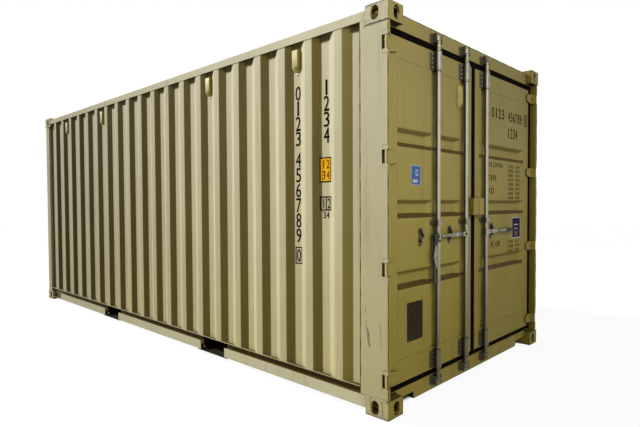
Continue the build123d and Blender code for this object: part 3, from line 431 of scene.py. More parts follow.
def grime_and_chips(tree, colour, ledge, wear, edge, rust):
    """Brown grime on shelves and in streaks, painted shade in corners and seams, then scrapes,
    chips and rust spots.
    """
    on_shelf = times(tree, facing(tree, "Z", 0.85, 0.97), fades(tree, "Z", 0.2, 0.6, 0.85))
    specks = times(tree, ledge, ramp(tree, noise(tree, 70.0, 3.0), 0.50, 0.66, 0.8))
    patches = ramp(tree, noise(tree, 1.3), 0.35, 0.75, 0.10)
    runs = ramp(tree, noise(tree, 1.0, 4.0, tall_streaks), 0.56, 0.80, 0.20)
    # Corners and seams are darkened where nearby surface shuts a point in: painted shade.
    corners = times(tree, crevice(tree, 0.05), ramp(tree, noise(tree, 7.0), 0.25, 0.70, 0.60))
    seam_shade = times(tree, crevice(tree, 0.012, 0.80, 0.45), 0.9)
    scrape = ramp(tree, noise(tree, 1.0, 5.0, short_streaks), 0.735 - 0.05 * wear, 0.77)
    chip = ramp(tree, noise(tree, 42.0, 5.0), 0.64 - 0.15 * wear, 0.68 - 0.12 * wear)
    layers = [(dirt, grime_and_shade_brown) for dirt in (on_shelf, specks, patches, runs, corners)]
    bare = (seam_shade, times(tree, scrape, 0.8), times(tree, worn_edge(tree, edge), chip))
    layers += [(amount, primer_and_shade_dark) for amount in bare]
    if rust:
        spot = ramp(tree, noise(tree, 9.0, 6.0), 0.70 - 0.12 * rust, 0.76)
        layers.append((times(tree, spot, 0.8), rust_red))
    return coats(tree, colour, *layers)


def paint(name, wear=0.5, rust=0.0, peel=0.00035, inset=skin_inset, low_tone=1.0, edge=0.005,
          levels=(), inner_painted_shade=0.0, wall=False):
    """The tan coat: wear sets the chips and scrapes, rust the red spots, peel the depth of the
    bump, inset how far in the outside reaches, the low tone how much darker and more
    saturated it gets towards the bottom, edge the width of worn edges, levels the recesses
    whose lower edges get painted shade, and the inner painted shade how much painted shade
    the faces inside the skin get; a wall also has painted shade in its hollows."""
    tree = new_finish(name, 0.5, gleam=0.12)
    reach = cad_box[1][1] - inset
    inside = fades(tree, "Y", reach - 4 * mm, reach, 1.0, True)
    outer = ramp(tree, inside, 1.0, 0.0)
    across = facing(tree, "X", 0.25, 0.45, True)
    ledge = times(tree, facing(tree, "Z", 0.35, 0.50), across)
    eaves = times(tree, facing(tree, "Z", -0.35, -0.50), across)
    soffit = facing(tree, "Z", -0.86, -0.96)
    # Ledges that face up, down-facing eaves and soffits get painted shade.
    colour = coats(
        tree, shade_and_dirt_on_slopes(tree, tan_by_place(tree, inside, outer, low_tone, inner_painted_shade), outer),
        (times(tree, ledge, 0.9), ledge_painted_shade),
        (times(tree, eaves, 0.40), shaded_tan),
        (times(tree, soffit, 0.85), grime_and_shade_brown),
    )
    colour = shade_in_recesses(tree, colour, levels)
    if wall:
        colour = shade_in_hollows(tree, colour)
    colour = grime_and_chips(tree, colour, ledge, wear, edge, rust)
    sheen = ramp(tree, noise(tree, 5.0), 0.2, 0.8, 0.16)
    results = {
        "Base Color": colour,
        "Roughness": step(tree, "Math", 0, {0: sheen, 1: 0.46}, operation="ADD"),
        "Specular IOR Level": ramp(tree, soffit, 1.0, 0.0, 0.12),
    }
    dress(tree, results, noise(tree, 220.0, 2.0), peel)


paint("tan_paint", wear=0.45)
paint("casting_paint", wear=1.0, rust=0.6, peel=0.0012, inset=8 * mm, edge=0.012)
# The rail's recessed web is browned with painted shade.
paint("rail_paint", inset=15 * mm, low_tone=0.0, inner_painted_shade=0.75)
paint("wall_paint", wear=0.45, wall=True)
paint("panel_paint", levels=recess_levels.tolist())
print("paints:", [name for name in finishes if "paint" in name])

# %% [markdown]
# The lock rods and straps are galvanised tube and pressings: dull metal with a pale
# mottled skin. Bolts and catches are darker and rougher, as dipped steel turns when it
# has stood outdoors. Each row below gives a metal's pale and dark tone, how metallic and
# how rough it is, and where it isn't the usual, the pace of the mottle and the bump.

# %% Mix the metal finishes
worn_highlight_zinc = (0.66, 0.66, 0.55)
low_shade_zinc = (0.125, 0.108, 0.046)
back_painted_shade = (0.035, 0.032, 0.020)
plate_olive = (0.110, 0.096, 0.046)
metals = {
    "rod_zinc": ((0.48, 0.48, 0.34), (0.41, 0.41, 0.29), 0.25, 0.36, 6.0, 0.0),
    "strap_zinc": ((0.34, 0.345, 0.27), (0.25, 0.25, 0.19), 0.40, 0.34, 20.0),
    "bolt_zinc": ((0.95, 0.96, 0.88), (0.75, 0.76, 0.70), 0.30, 0.30, 200.0),
    "keeper_steel": ((0.080, 0.066, 0.030), (0.034, 0.028, 0.014), 0.10, 0.50, 40.0),
    "catch_steel": ((0.040, 0.035, 0.023), (0.013, 0.012, 0.009), 0.15, 0.42),
    "handle_zinc": ((0.33, 0.32, 0.22), (0.19, 0.18, 0.12), 0.30, 0.38, 30.0),
    "cam_steel": ((0.24, 0.23, 0.15), (0.11, 0.10, 0.06), 0.25, 0.40, 30.0),
}


def metal(name, pale, dark, shine, roughness, blotch=60.0, bump=0.0002):
    """A mottled metal skin between a pale and a dark tone, worn pale on its edges with a
    painted highlight there, and with painted shade in its corners, towards the ground and
    on the side that looks at the door behind it."""
    tree = new_finish(name, roughness, shine, gleam=0.25)
    rubbed = ramp(tree, noise(tree, 90.0, 3.0), 0.42, 0.60, 0.7)
    behind = ramp(tree, facing(tree, "X", 0.0, 0.62), 1.0, 0.0, 0.92)
    sunk = times(tree, fades(tree, "X", 2.984, 2.990, 0.8), fades(tree, "X", 3.2, 3.3))
    # Worn edges carry a painted highlight; the lower part, the side facing the door and the corners carry painted
    # shade.
    skin = coats(
        tree, pale,
        (ramp(tree, noise(tree, blotch, 4.0), 0.35, 0.70), dark),
        (times(tree, worn_edge(tree, 0.002), rubbed), worn_highlight_zinc),
        (fades(tree, "Z", 0.2, 1.3, 0.86), low_shade_zinc),
        (behind, back_painted_shade),
        (sunk, plate_olive),
        (times(tree, crevice(tree, 0.03, 0.90, 0.45), 0.9), primer_and_shade_dark),
    )
    dress(tree, {"Base Color": skin}, noise(tree, 350.0), bump)


for name, values in metals.items():
    metal(name, *values)
print("metals:", len(metals))

# %% [markdown]
# Rubber, plastic, plywood and inks are matt skins that drift between two near colours. A
# row gives both colours, the pace of the drift, the roughness, the bump and the gleam;
# some rows also give a stretch of the drift, and the side vents' row a painted shade
# colour for the faces that look to the doors.

# %% Mix rubber, plastic, plywood and ink
long_grain = (1.0, 9.0, 9.0)
vent_shade = (0.30, 0.225, 0.020)
skins = {
    "seal_rubber": ((0.003, 0.003, 0.003), (0.007, 0.006, 0.005), 9.0, 0.9, 0.0006, 0.02),
    "vent_plastic": ((0.52, 0.43, 0.145), (0.44, 0.36, 0.11), 12.0, 0.5, 0.0003),
    "side_vent": ((0.50, 0.44, 0.20), (0.46, 0.40, 0.17), 12.0, 0.5, 0.0003, 0.1, even, vent_shade),
    "sealant": ((0.60, 0.57, 0.42), (0.50, 0.46, 0.30), 30.0, 0.5, 0.0008),
    "floor_wood": ((0.30, 0.17, 0.08), (0.20, 0.11, 0.05), 3.0, 0.6, 0.0006, 0.3, long_grain),
    "mark_ink": ((0.003, 0.003, 0.002), (0.008, 0.007, 0.005), 30.0, 0.9, 0.0001, 0.02),
    "mark_yellow": ((0.90, 0.46, 0.004), (0.82, 0.40, 0.004), 20.0, 0.7, 0.0001, 0.05),
    "mark_blue": ((0.045, 0.150, 0.440), (0.040, 0.120, 0.360), 20.0, 0.5, 0.0001),
    "mark_purple": ((0.012, 0.007, 0.028), (0.016, 0.010, 0.024), 20.0, 0.6, 0.0001, 0.05),
    "mark_white": ((0.66, 0.66, 0.60), (0.55, 0.55, 0.50), 20.0, 0.5, 0.0001),
    "mark_red": ((0.160, 0.030, 0.040), (0.130, 0.028, 0.040), 20.0, 0.5, 0.0001),
    "plate_dark": ((0.020, 0.015, 0.007), (0.036, 0.028, 0.013), 40.0, 0.7, 0.0004, 0.08),
    "pocket_dark": ((0.014, 0.011, 0.006), (0.024, 0.019, 0.010), 6.0, 0.8, 0.0004, 0.05),
    "line_olive": ((0.210, 0.165, 0.036), (0.110, 0.086, 0.022), 24.0, 0.7, 0.0002, 0.05),
    "scuff_dark": ((0.040, 0.036, 0.034), (0.105, 0.042, 0.026), 14.0, 0.8, 0.0002, 0.05),
    "hub_green": ((0.026, 0.032, 0.024), (0.046, 0.050, 0.036), 60.0, 0.5, 0.0002, 0.2),
    "grip_dark": ((0.022, 0.018, 0.009), (0.036, 0.030, 0.016), 50.0, 0.6, 0.0002, 0.2),
}


def plain(name, colour, other, scale, roughness, bump, gleam=0.3, stretch=even, shaded=None):
    """A matt skin that drifts between two near colours, with a fine bump; shaded is a painted
    shade colour laid on what looks to the doors."""
    tree = new_finish(name, roughness, gleam=gleam)
    layers = [(ramp(tree, noise(tree, scale, 4.0, stretch), 0.35, 0.65), other)]
    if shaded:
        layers.append((facing(tree, "X", 0.15, 0.45), shaded))
    dress(tree, {"Base Color": coats(tree, colour, *layers)}, noise(tree, 8 * scale), bump)


for name, values in skins.items():
    plain(name, *values)
print("finishes:", len(finishes))

# %% [markdown]
# The solids already carry material slots from the record, so a finish goes on by filling
# each node's slot. Most slots have a finish of the same name.

# %% Paint the solids
slot_finish = {"hardware_steel": "strap_zinc", "rod_paint": "rod_zinc", "floor_plywood": "floor_wood"}
node_slot = {row["node"]: row["material_slot"] for row in frame["record"]["subparts"]}
node_body = {
    node: body
    for body, members in frame["record"]["behaviour"]["bodies"].items()
    for node in members
}
node_finish = {node: slot_finish.get(slot, slot) for node, slot in node_slot.items()}
node_finish |= {
    "hinge_lugs": "tan_paint",
    "cam_keepers": "keeper_steel",
    "bottom_side_rails": "rail_paint",
    # Fork pocket insides are painted near black: painted shade.
    "fork_pockets": "pocket_dark",
    "pocket_tops": "pocket_dark",
    "pocket_straps": "pocket_dark",
    "right_handle": "handle_zinc",
    "inner_left_handle": "handle_zinc",
    # The outer left handle takes the dark keeper finish, so it reads as the shade beside its rod: painted shade.
    "outer_left_handle": "keeper_steel",
    "left_handle_retainers": "catch_steel",
    "right_handle_retainer": "catch_steel",
}
for node, finish in node_finish.items():
    nodes[node].data.materials.clear()
    nodes[node].data.materials.append(finishes[finish])
print("nodes painted:", len(node_finish))

# %% [markdown]
# New pieces are surfaces: arrays of points laid out as a grid, with the faces between
# them. These helpers turn arrays into a closed mesh that rides on one body, and give the
# few kinds of grid that the rest of the lesson uses. A shape is a pair: points and faces.

# %% Turn arrays into pieces
merge_gap = 1e-5
smooth_angle = math.radians(38)
axes = {"X": np.eye(3)[0], "Y": np.eye(3)[1], "Z": np.eye(3)[2]}


def smooth_piece(name, shell, finish, body):
    """A mesh as a piece with smooth bends and sharp edges, riding on a body."""
    shell.shade_smooth()
    shell.set_sharp_from_angle(angle=smooth_angle)
    shell.materials.clear()
    shell.materials.append(finishes[finish])
    piece = in_scene(name, shell)
    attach(piece, body)
    return piece


def add_piece(name, shape, finish, body="container"):
    """A closed mesh from a shape, doubles merged, faces turned out, with a finish, riding on
    a body; a rod and a handle are bodies of one node."""
    points, faces = shape
    shell = bpy.data.meshes.new(name)
    shell.from_pydata(points.tolist(), [], faces.tolist())
    work = bmesh.new()
    work.from_mesh(shell)
    bmesh.ops.remove_doubles(work, verts=work.verts, dist=merge_gap)
    bmesh.ops.recalc_face_normals(work, faces=work.faces)
    work.to_mesh(shell)
    work.free()
    return smooth_piece(name, shell, finish, body)


def grid_faces(rows, columns, round_rows=False, round_columns=False):
    """Faces of a grid of points, row by row; a round way joins its last line to its first."""
    row = np.arange(rows if round_rows else rows - 1)
    column = np.arange(columns if round_columns else columns - 1)
    row, column = (part.ravel() for part in np.meshgrid(row, column, indexing="ij"))
    below, beside = (row + 1) % rows * columns, (column + 1) % columns
    row = row * columns
    return np.stack([row + column, row + beside, below + beside, below + column], 1)


def joined(shapes):
    """Several shapes as one."""
    starts = np.cumsum([0] + [len(points) for points, _ in shapes[:-1]])
    points = np.concatenate([points for points, _ in shapes])
    return points, np.concatenate([faces + start for start, (_, faces) in zip(starts, shapes)])


def many(name, shape, places, finish, body):
    """One piece of the same small fitting at many places."""
    points, faces = shape
    copies = [(points + place, faces) for place in places]
    add_piece(name, joined(copies), finish, body)


def turned(profile, axis, steps=20):
    """A turned shape: each (reach, rise) of the profile, in millimetres, goes round the axis,
    so a point is rise * axis + reach * (cos t * side + sin t * other)."""
    reach, rise = np.array(profile).T * mm
    turn = np.linspace(0, 2 * np.pi, steps, endpoint=False)
    along = axes[axis]
    side = axes["Z"] if axis != "Z" else axes["X"]
    other = np.cross(along, side)
    ring = np.cos(turn)[:, None] * side + np.sin(turn)[:, None] * other
    points = rise[:, None, None] * along + reach[:, None, None] * ring[None]
    return points.reshape(-1, 3), grid_faces(len(reach), steps, round_columns=True)


def two_skins(front, back):
    """A closed sheet between two grids of the same size, with strips round its border."""
    rows, columns = front.shape[:2]
    faces = grid_faces(rows, columns)
    near = np.arange(rows * columns).reshape(rows, columns)
    border = np.concatenate([near[0], near[1:, -1], near[-1, -2::-1], near[-2:0:-1, 0]])
    far = border + rows * columns
    strip = np.stack([border, np.roll(border, -1), np.roll(far, -1), far], 1)
    points = np.concatenate([front.reshape(-1, 3), back.reshape(-1, 3)])
    return points, np.concatenate([faces, faces[:, ::-1] + rows * columns, strip])


print("grid of 3 by 4 has faces:", len(grid_faces(3, 4)))

# %% [markdown]
# The long walls are one sheet, pressed into ridges. The solid has sharp bends; real
# presses leave a radius, and that soft bend is what catches the light. The height of the
# sheet over a length x is the trapezoid line of the press, averaged over a short window,
# which rounds every corner by the same amount. A few long sine waves add the slight
# unevenness of thin steel.

# %% Press the side walls
ridge_pitch = 278 * mm
ridge_flat = 72 * mm
ridge_slope = 68 * mm
ridge_rise = 30 * mm
sheet_steel = 2 * mm
wall_rear_flat = 82 * mm
bend = 9 * mm
dent_depth = 0.35 * mm
wall_rows = 14
casting_length = 178 * mm
casting_width = 162 * mm
wall_low, wall_high = corners_of("left_wall")
casting_low, casting_high = corners_of("top_castings")
casting_height = casting_high[2] - casting_low[2]
rail_end = casting_high[0] - casting_length
wall_base = abs(wall_low[1]) - ridge_rise
last_foot = wall_high[0] - wall_rear_flat
ridge_count = int((last_foot - wall_low[0]) // ridge_pitch)


def press_line():
    """Corner points (x, out) of the pressed line, from the closed end to the doors."""
    foot = last_foot - ridge_pitch * np.arange(ridge_count)[::-1]
    steps = np.array([2 * ridge_slope + ridge_flat, ridge_slope + ridge_flat, ridge_slope, 0])
    x = (foot[:, None] - steps[None]).ravel()
    out = np.tile([0.0, ridge_rise, ridge_rise, 0.0], ridge_count)
    return np.concatenate([[-9], x, [9]]), np.concatenate([[0], out, [0]])


line_x, line_out = press_line()


def sheet_out(x):
    """How far out the sheet lies at x: the line averaged over one bend, which rounds it."""
    window = np.linspace(-bend / 2, bend / 2, 9)
    return wall_base + np.interp(x[..., None] + window, line_x, line_out).mean(-1)


def press_columns():
    """Where the sheet needs columns: five across each bend, the ends, and some between."""
    near = (line_x[1:-1, None] + np.linspace(-bend / 2, bend / 2, 5)).ravel()
    ends = [wall_low[0], -rail_end, -rail_end + mm, wall_high[0]]
    columns = np.unique(np.concatenate([near, ends, np.linspace(wall_low[0], wall_high[0], 60)]))
    return columns[(columns >= wall_low[0]) & (columns <= wall_high[0])]


wall_columns = press_columns()


def press_wall(side):
    """One side wall: across = side * (rounded line + long shallow waves). Its top ends lower
    at the closed end, under the casting."""
    top = np.where(wall_columns < -rail_end + mm / 2, casting_low[2], wall_high[2])
    share = np.linspace(0, 1, wall_rows)[:, None]
    z = wall_low[2] + share * (top - wall_low[2])[None]
    x = np.broadcast_to(wall_columns, z.shape)
    wave = np.sin(x * 4.1 + 1.0) * np.sin(z * 2.7 + x) + np.sin(x * 9.7 + z * 3.0)
    out = sheet_out(wall_columns)[None] + dent_depth * wave * np.sin(np.pi * share)
    return two_skins(*(np.stack([x, side * (out - deep), z], -1) for deep in (0, sheet_steel)))


for side, name in ((-1, "left_wall"), (1, "right_wall")):
    wall = add_piece(name + "_sheet", press_wall(side), "wall_paint")
    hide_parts(name)
print("ridges:", ridge_count, "faces in a wall:", len(wall.data.polygons))

# %% [markdown]
# Each door leaf has one pressed panel: three shallow recesses across it and an upright
# groove behind each lock rod. The depth of a recess at a point is the distance in from
# its nearest edge times the slope of its wall, stopped at the full depth, and behind a
# rod its floor rises in a low saddle. Averaging over a small square rounds the bends.

# %% Press the door panels
panel_low, panel_high = corners_of("right_leaf_panel")
door_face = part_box("left_leaf_frame")[1][0]
joint = {row["name"]: np.array(row["pos_m"]) for row in frame["joints"]}
outer_rod_y = joint["outer_left_rod_turn"][1]
inner_rod_y = joint["inner_left_rod_turn"][1]
rod_x, right_rod_y = joint["right_rod_turn"][:2]
recess_height = 120 * mm
recess_depth = 36 * mm
recess_slope = 1 / math.tan(math.radians(34))
ledge_slope = 1 / math.tan(math.radians(42))
end_run = 80 * mm
steep_run = 14 * mm
outer_margin = 22 * mm
groove_width = 76 * mm
groove_depth = 15 * mm
groove_run = 24 * mm
panel_step = 24 * mm
panel_wave = 0.5 * mm
panel_inner, panel_outer = panel_low[1], panel_high[1]
steel_edge = 1 * mm
panels = {
    "right_door_sheet": ("right_leaf_panel", "right_leaf", panel_inner + steel_edge,
                         panel_outer - outer_margin, steep_run, end_run, [right_rod_y]),
    "left_door_sheet": ("left_leaf_panel", "left_leaf", -panel_outer + steel_edge,
                        -panel_inner - steel_edge, steep_run, steep_run, [outer_rod_y, inner_rod_y]),
}


def sunk_by(y, z, low, high, low_run, high_run, rods):
    """Depth of the panel at (y, z): the deeper of the recesses and the grooves there."""
    ends = np.minimum((y - low) / low_run, (high - y) / high_run)
    saddle = np.minimum.reduce([np.abs(y - rod) / end_run for rod in rods])
    floor = recess_depth * np.clip(np.minimum(ends, saddle), 0, 1)
    depth = np.zeros(y.shape)
    for level in recess_levels:
        steep = np.where(z > level, recess_slope, ledge_slope)
        wall = (recess_height / 2 - np.abs(z - level)) * steep
        depth = np.maximum(depth, np.clip(wall, 0, floor))
    for rod in rods:
        wall = (groove_width / 2 - np.abs(y - rod)) / groove_run
        depth = np.maximum(depth, groove_depth * np.clip(wall, 0, 1))
    return depth


def lines_near(corners, low, high):
    """Grid lines: several across each bend, and plain ones at most a step apart between."""
    near = (np.array(corners)[:, None] + np.linspace(-bend, bend, 7)).ravel()
    even_lines = np.linspace(low, high, int((high - low) / panel_step) + 1)
    lines = np.unique(np.concatenate([near, even_lines]))
    return lines[(lines >= low) & (lines <= high)]


def press_panel(low, high, low_run, high_run, rods):
    """One leaf's panel as a height over (y, z), averaged over a bend in both ways."""
    levels = [
        level + sign * (recess_height / 2 - inset)
        for level in recess_levels
        for sign, slope in ((-1, ledge_slope), (1, recess_slope))
        for inset in (0, recess_depth / slope)
    ]
    sides = [low, low + low_run, high - high_run, high]
    for half in (0, groove_width / 2 - groove_run, groove_width / 2, end_run):
        sides += [rod + sign * half for rod in rods for sign in (-1, 1)]
    first, last = (panel_inner, panel_outer) if rods[0] > 0 else (-panel_outer, -panel_inner)
    y, z = np.meshgrid(lines_near(sides, first, last), lines_near(levels, panel_low[2], panel_high[2]))
    window = np.linspace(-bend / 2, bend / 2, 5)
    shape = (low, high, low_run, high_run, rods)
    depth = np.mean([sunk_by(y + a, z + b, *shape) for a in window for b in window], 0)
    border = np.minimum.reduce([y - first, last - y, z - panel_low[2], panel_high[2] - z])
    wave = panel_wave * np.sin(y * 7 + 2) * np.sin(z * 5 + 1) * np.clip(border * 8, 0, 1)
    x = door_face - depth - np.abs(wave)
    return two_skins(*(np.stack([x - deep, y, z], -1) for deep in (0, sheet_steel)))


for name, (node, body, *shape) in panels.items():
    panel = add_piece(name, press_panel(*shape), "panel_paint", body)
    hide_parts(node)
    print(name, "faces:", len(panel.data.polygons))

# %% [markdown]
# The corner castings are thick hollow steel with rounded edges, an oval hole in each
# outer face and a long slot above or below. Every outer face is a ring of points that
# runs from the hole's edge to the face's four sides; the same ring on the inner wall and
# a short tube between them close the shape. One corner is made, and flipped to the rest.

# %% Cast the corner fittings
side_points = 12
plate = 28.6 * mm
lid = 12 * mm
outer_wall = 16 * mm
inner_wall = 13 * mm
hole_inset = np.array((102.5, 89.5)) * mm
slot_size = np.array((124.0, 63.5)) * mm
hole_size = np.array((60.0, 88.0)) * mm
ring_shares = np.array([0, 0.22, 0.6, 1])[:, None, None]


def round_the_sides(low, high):
    """Points round a rectangle, as (across, up) pairs: the same count on each side."""
    share = np.linspace(0, 1, side_points, endpoint=False)
    ends = np.array([low, (high[0], low[1]), high, (low[0], high[1])])
    return np.concatenate([a + share[:, None] * (b - a) for a, b in zip(ends, np.roll(ends, -1, 0))])


def oval(angle, size):
    """A rounded slot's edge at an angle: a straight part, and half circles at its ends."""
    wide, tall = sorted(size)
    across, up = np.cos(angle), np.sin(angle)
    if size[0] > size[1]:
        across, up = up, across
    half, straight = wide / 2, (tall - wide) / 2
    beside = half / np.maximum(np.abs(across), 1e-9)
    arc = np.sqrt(np.maximum(half**2 - (straight * across) ** 2, 0))
    reach = np.where(beside * np.abs(up) <= straight, beside, straight * np.abs(up) + arc)
    return reach[:, None] * np.stack([np.cos(angle), np.sin(angle)], 1)


def rings(flat, depth, order):
    """Closed rings of (u, v) at a depth; order sorts (u, v, depth) into (x, y, z)."""
    deep = np.broadcast_to(depth, flat.shape[:2] + (1,))
    points = np.concatenate([flat, deep], -1)[..., order].reshape(-1, 3)
    return points, grid_faces(*flat.shape[:2], round_columns=True)


def holed_wall(order, outer, inner, hole, size, depths):
    """Two faces with the same hole in both, and the tube between them."""
    angle = np.arctan2(*(round_the_sides(*outer) - hole).T[::-1])
    rim = hole + oval(angle, size)
    shapes = [
        rings(rim + ring_shares * (round_the_sides(*face) - rim), depth, order)
        for face, depth in zip((outer, inner), depths)
    ]
    tube = np.broadcast_to(rim, (3, *rim.shape))
    return shapes + [rings(tube, np.linspace(*depths, 3)[:, None, None], order)]


def plain_wall(order, low, high, depth):
    """A full face as a square grid whose sides match the rings' sides."""
    share = np.linspace(0, 1, side_points + 1)
    u, v = np.meshgrid(low[0] + share * (high[0] - low[0]), low[1] + share * (high[1] - low[1]))
    points = np.stack([u, v, np.full(u.shape, depth)], -1)[..., order].reshape(-1, 3)
    return points, grid_faces(side_points + 1, side_points + 1)


def cast_corner():
    """One fitting in its own corner: x and y run in from the outer faces, z up from the slot.
    The three walls are the end, the side and the one with the slot."""
    size = np.array((casting_length, casting_width, casting_height))
    low = np.array((outer_wall, outer_wall, plate))
    high = size - (inner_wall, inner_wall, lid)
    up = casting_height / 2
    walls = (
        ([1, 2], 0, [2, 0, 1], (hole_inset[1], up), hole_size),
        ([0, 2], 1, [0, 2, 1], (hole_inset[0], up), hole_size),
        ([0, 1], 2, [0, 1, 2], hole_inset, slot_size),
    )
    shapes = []
    for plane, across, order, hole, hole_shape in walls:
        outer = (np.zeros(2), size[plane])
        inner = (low[plane], high[plane])
        shapes += holed_wall(order, outer, inner, hole, hole_shape, (0.0, low[across]))
        shapes.append(plain_wall(order, *outer, size[across]))
        shapes.append(plain_wall(order, *inner, high[across]))
    return joined(shapes)


def cast_corners(top):
    """Four fittings: the corner is flipped, and moved to each corner of the container."""
    points, faces = cast_corner()
    corner = casting_high - points
    if not top:
        corner[:, 2] = points[:, 2]
    return joined([(corner * (sx, sy, 1), faces) for sx in (-1, 1) for sy in (-1, 1)])


def round_edges(piece, width, segments, above):
    """A bevel on every edge whose faces turn by more than an angle."""
    rounding = piece.modifiers.new("rounding", "BEVEL")
    rounding.width = width
    rounding.segments = segments
    rounding.limit_method = "ANGLE"
    rounding.angle_limit = math.radians(above)


for level, top in (("bottom", False), ("top", True)):
    fitting = add_piece(level + "_fittings", cast_corners(top), "casting_paint")
    round_edges(fitting, 6 * mm, 3, 50)
    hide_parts(level + "_castings")
print("faces in four fittings:", len(fitting.data.polygons))

# %% [markdown]
# Forged and pressed steel has no sharp edges. The solids of the hinges, keepers, brackets,
# catches, handles, posts and rails have the right shape, so each is copied, its facets
# are joined into whole faces, and a bevel rounds the edges, by the width in the table, in
# millimetres. The copy stands in for the node.

# %% Round the edges of hardware and frame
flat_angle = math.radians(1.0)
edge_widths = {
    1.5: ("left_rod_brackets", "right_rod_brackets", "cam_keepers", "left_handle_retainers",
          "right_handle_retainer", "right_handle", "inner_left_handle", "outer_left_handle"),
    3.0: ("left_hinges", "right_hinges"),
    1.8: ("left_lock_box", "right_lock_box"),
    2.4: ("rear_posts", "rear_header", "rear_sill", "top_side_rails"),
    1.6: ("left_leaf_frame", "right_leaf_frame", "bottom_side_rails", "front_posts"),
}


def softened(node, width):
    """A copy of a node with rounded edges, riding where the node rides."""
    work = bmesh.new()
    work.from_mesh(nodes[node].data)
    bmesh.ops.remove_doubles(work, verts=work.verts, dist=merge_gap)
    bmesh.ops.dissolve_limit(work, angle_limit=flat_angle, verts=work.verts, edges=work.edges)
    shell = bpy.data.meshes.new(node + "_soft")
    work.to_mesh(shell)
    work.free()
    if "custom_normal" in shell.attributes:
        shell.attributes.remove(shell.attributes["custom_normal"])
    piece = smooth_piece(node + "_soft", shell, node_finish[node], node_body[node])
    round_edges(piece, width, 2, 34)
    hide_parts(node)


for width, members in edge_widths.items():
    for node in members:
        softened(node, width * mm)
print("rounded nodes:", sum(len(members) for members in edge_widths.values()))

# %% [markdown]
# A weld bead is a low round rope with ripples where the weld pool froze. It is a section
# carried along a path: the section is a circle half sunk in the steel, its radius rises
# and falls with the ripples, and it runs out to nothing at both ends. Thin dark beads
# draw painted shade lines on the corners of the rear posts and round the hinge slots.

# %% Run the weld beads
bead_sides = 8
ripple_pitch = 9 * mm
ripple_rise = 0.25
drift_rise = 0.25
drift_pace = 37
long_step = 40 * mm
weld_overlap = 30 * mm
line_gap = 50 * mm
line_inset = 6 * mm
out_x = (1, 0, 0)
post_face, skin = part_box("rear_posts")[1][:2]
post_back = 2806 * mm
post_edge = skin - 4 * mm
flange_edge = 1187 * mm
hinge_levels = np.array((240, 940, 1640, 2340)) * mm
slot_half = 45 * mm


def along_path(corners, step_length):
    """Points at a steady pace along straight runs between corners, and the way they head."""
    corners = np.asarray(corners, float)
    runs = np.linalg.norm(np.diff(corners, axis=0), axis=1)
    gone = np.concatenate([[0], np.cumsum(runs)])
    at = np.linspace(0, gone[-1], max(4, int(gone[-1] / step_length)))
    points = np.stack([np.interp(at, gone, corners[:, k]) for k in range(3)], 1)
    heading = np.gradient(points, axis=0)
    return at, points, heading / np.linalg.norm(heading, axis=1)[:, None]


def bead(corners, radius, outward, step_length=3 * mm):
    """Weld along corners: centre + r(s) * (cos t * outward + sin t * sideways), where
    r(s) = radius * (1 + rise * |sin(pi * s / pitch)|), closed by a run-out at the ends."""
    at, centre, heading = along_path(corners, step_length)
    outward = np.asarray(outward, float)
    sideways = np.cross(heading, outward)
    sideways /= np.maximum(np.linalg.norm(sideways, axis=1), 1e-9)[:, None]
    swell = 1 + ripple_rise * np.abs(np.sin(np.pi * at / ripple_pitch))
    reach = radius * swell * (1 + drift_rise * np.sin(at * drift_pace + corners[0][1] * 50))
    reach[[0, -1]] = 0
    turn = np.linspace(0, 2 * np.pi, bead_sides, endpoint=False)
    ring = np.cos(turn)[None, :, None] * outward + np.sin(turn)[None, :, None] * sideways[:, None]
    points = centre[:, None] + reach[:, None, None] * ring
    return points.reshape(-1, 3), grid_faces(len(at), bead_sides, round_columns=True)


casting_beads = []
corner_lines = []
for level, radius in ((casting_height, 4.5 * mm), (casting_low[2], 2.4 * mm)):
    for side in (-1, 1):
        out_y = (0, side, 0)
        face = side * skin
        runs = (
            (post_back + weld_overlap, face, post_face - 4 * mm, face, out_y),
            (post_face, side * post_edge, post_face, side * flange_edge, out_x),
            (-rail_end - weld_overlap, face, -post_face + 4 * mm, face, out_y),
        )
        for x, y, to_x, to_y, outward in runs:
            casting_beads.append(bead([(x, y, level), (to_x, to_y, level)], radius, outward))
breaks = (hinge_levels[:, None] + np.array((-line_gap, line_gap))).ravel()
line_ends = np.array([casting_height + line_inset, *breaks, casting_low[2] - line_inset])
# Dark lines on the post corners and round the hinge slots: painted shade.
for side in (-1, 1):
    for low, high in line_ends.reshape(-1, 2):
        edge = [(post_face - 1 * mm, side * post_edge, z) for z in (low, high)]
        corner_lines.append(bead(edge, 2.8 * mm, out_x, long_step))
    for level in hinge_levels:
        for rise in (-slot_half, slot_half):
            across = [(post_face + 0.2 * mm, side * y * mm, level + rise) for y in (1216, 1190)]
            corner_lines.append(bead(across, 1.6 * mm, out_x))
add_piece("casting_welds", joined(casting_beads), "tan_paint")
add_piece("corner_lines", joined(corner_lines), "line_olive")
print("welds at the castings:", len(casting_beads), "dark lines:", len(corner_lines))

# %% [markdown]
# The wall sheet is welded along its foot, its head and to the post, and each door panel
# along its head and foot. Thin dark lines of sealing dirt mark the back of the rear posts,
# and a painted shade line the header's top edge.

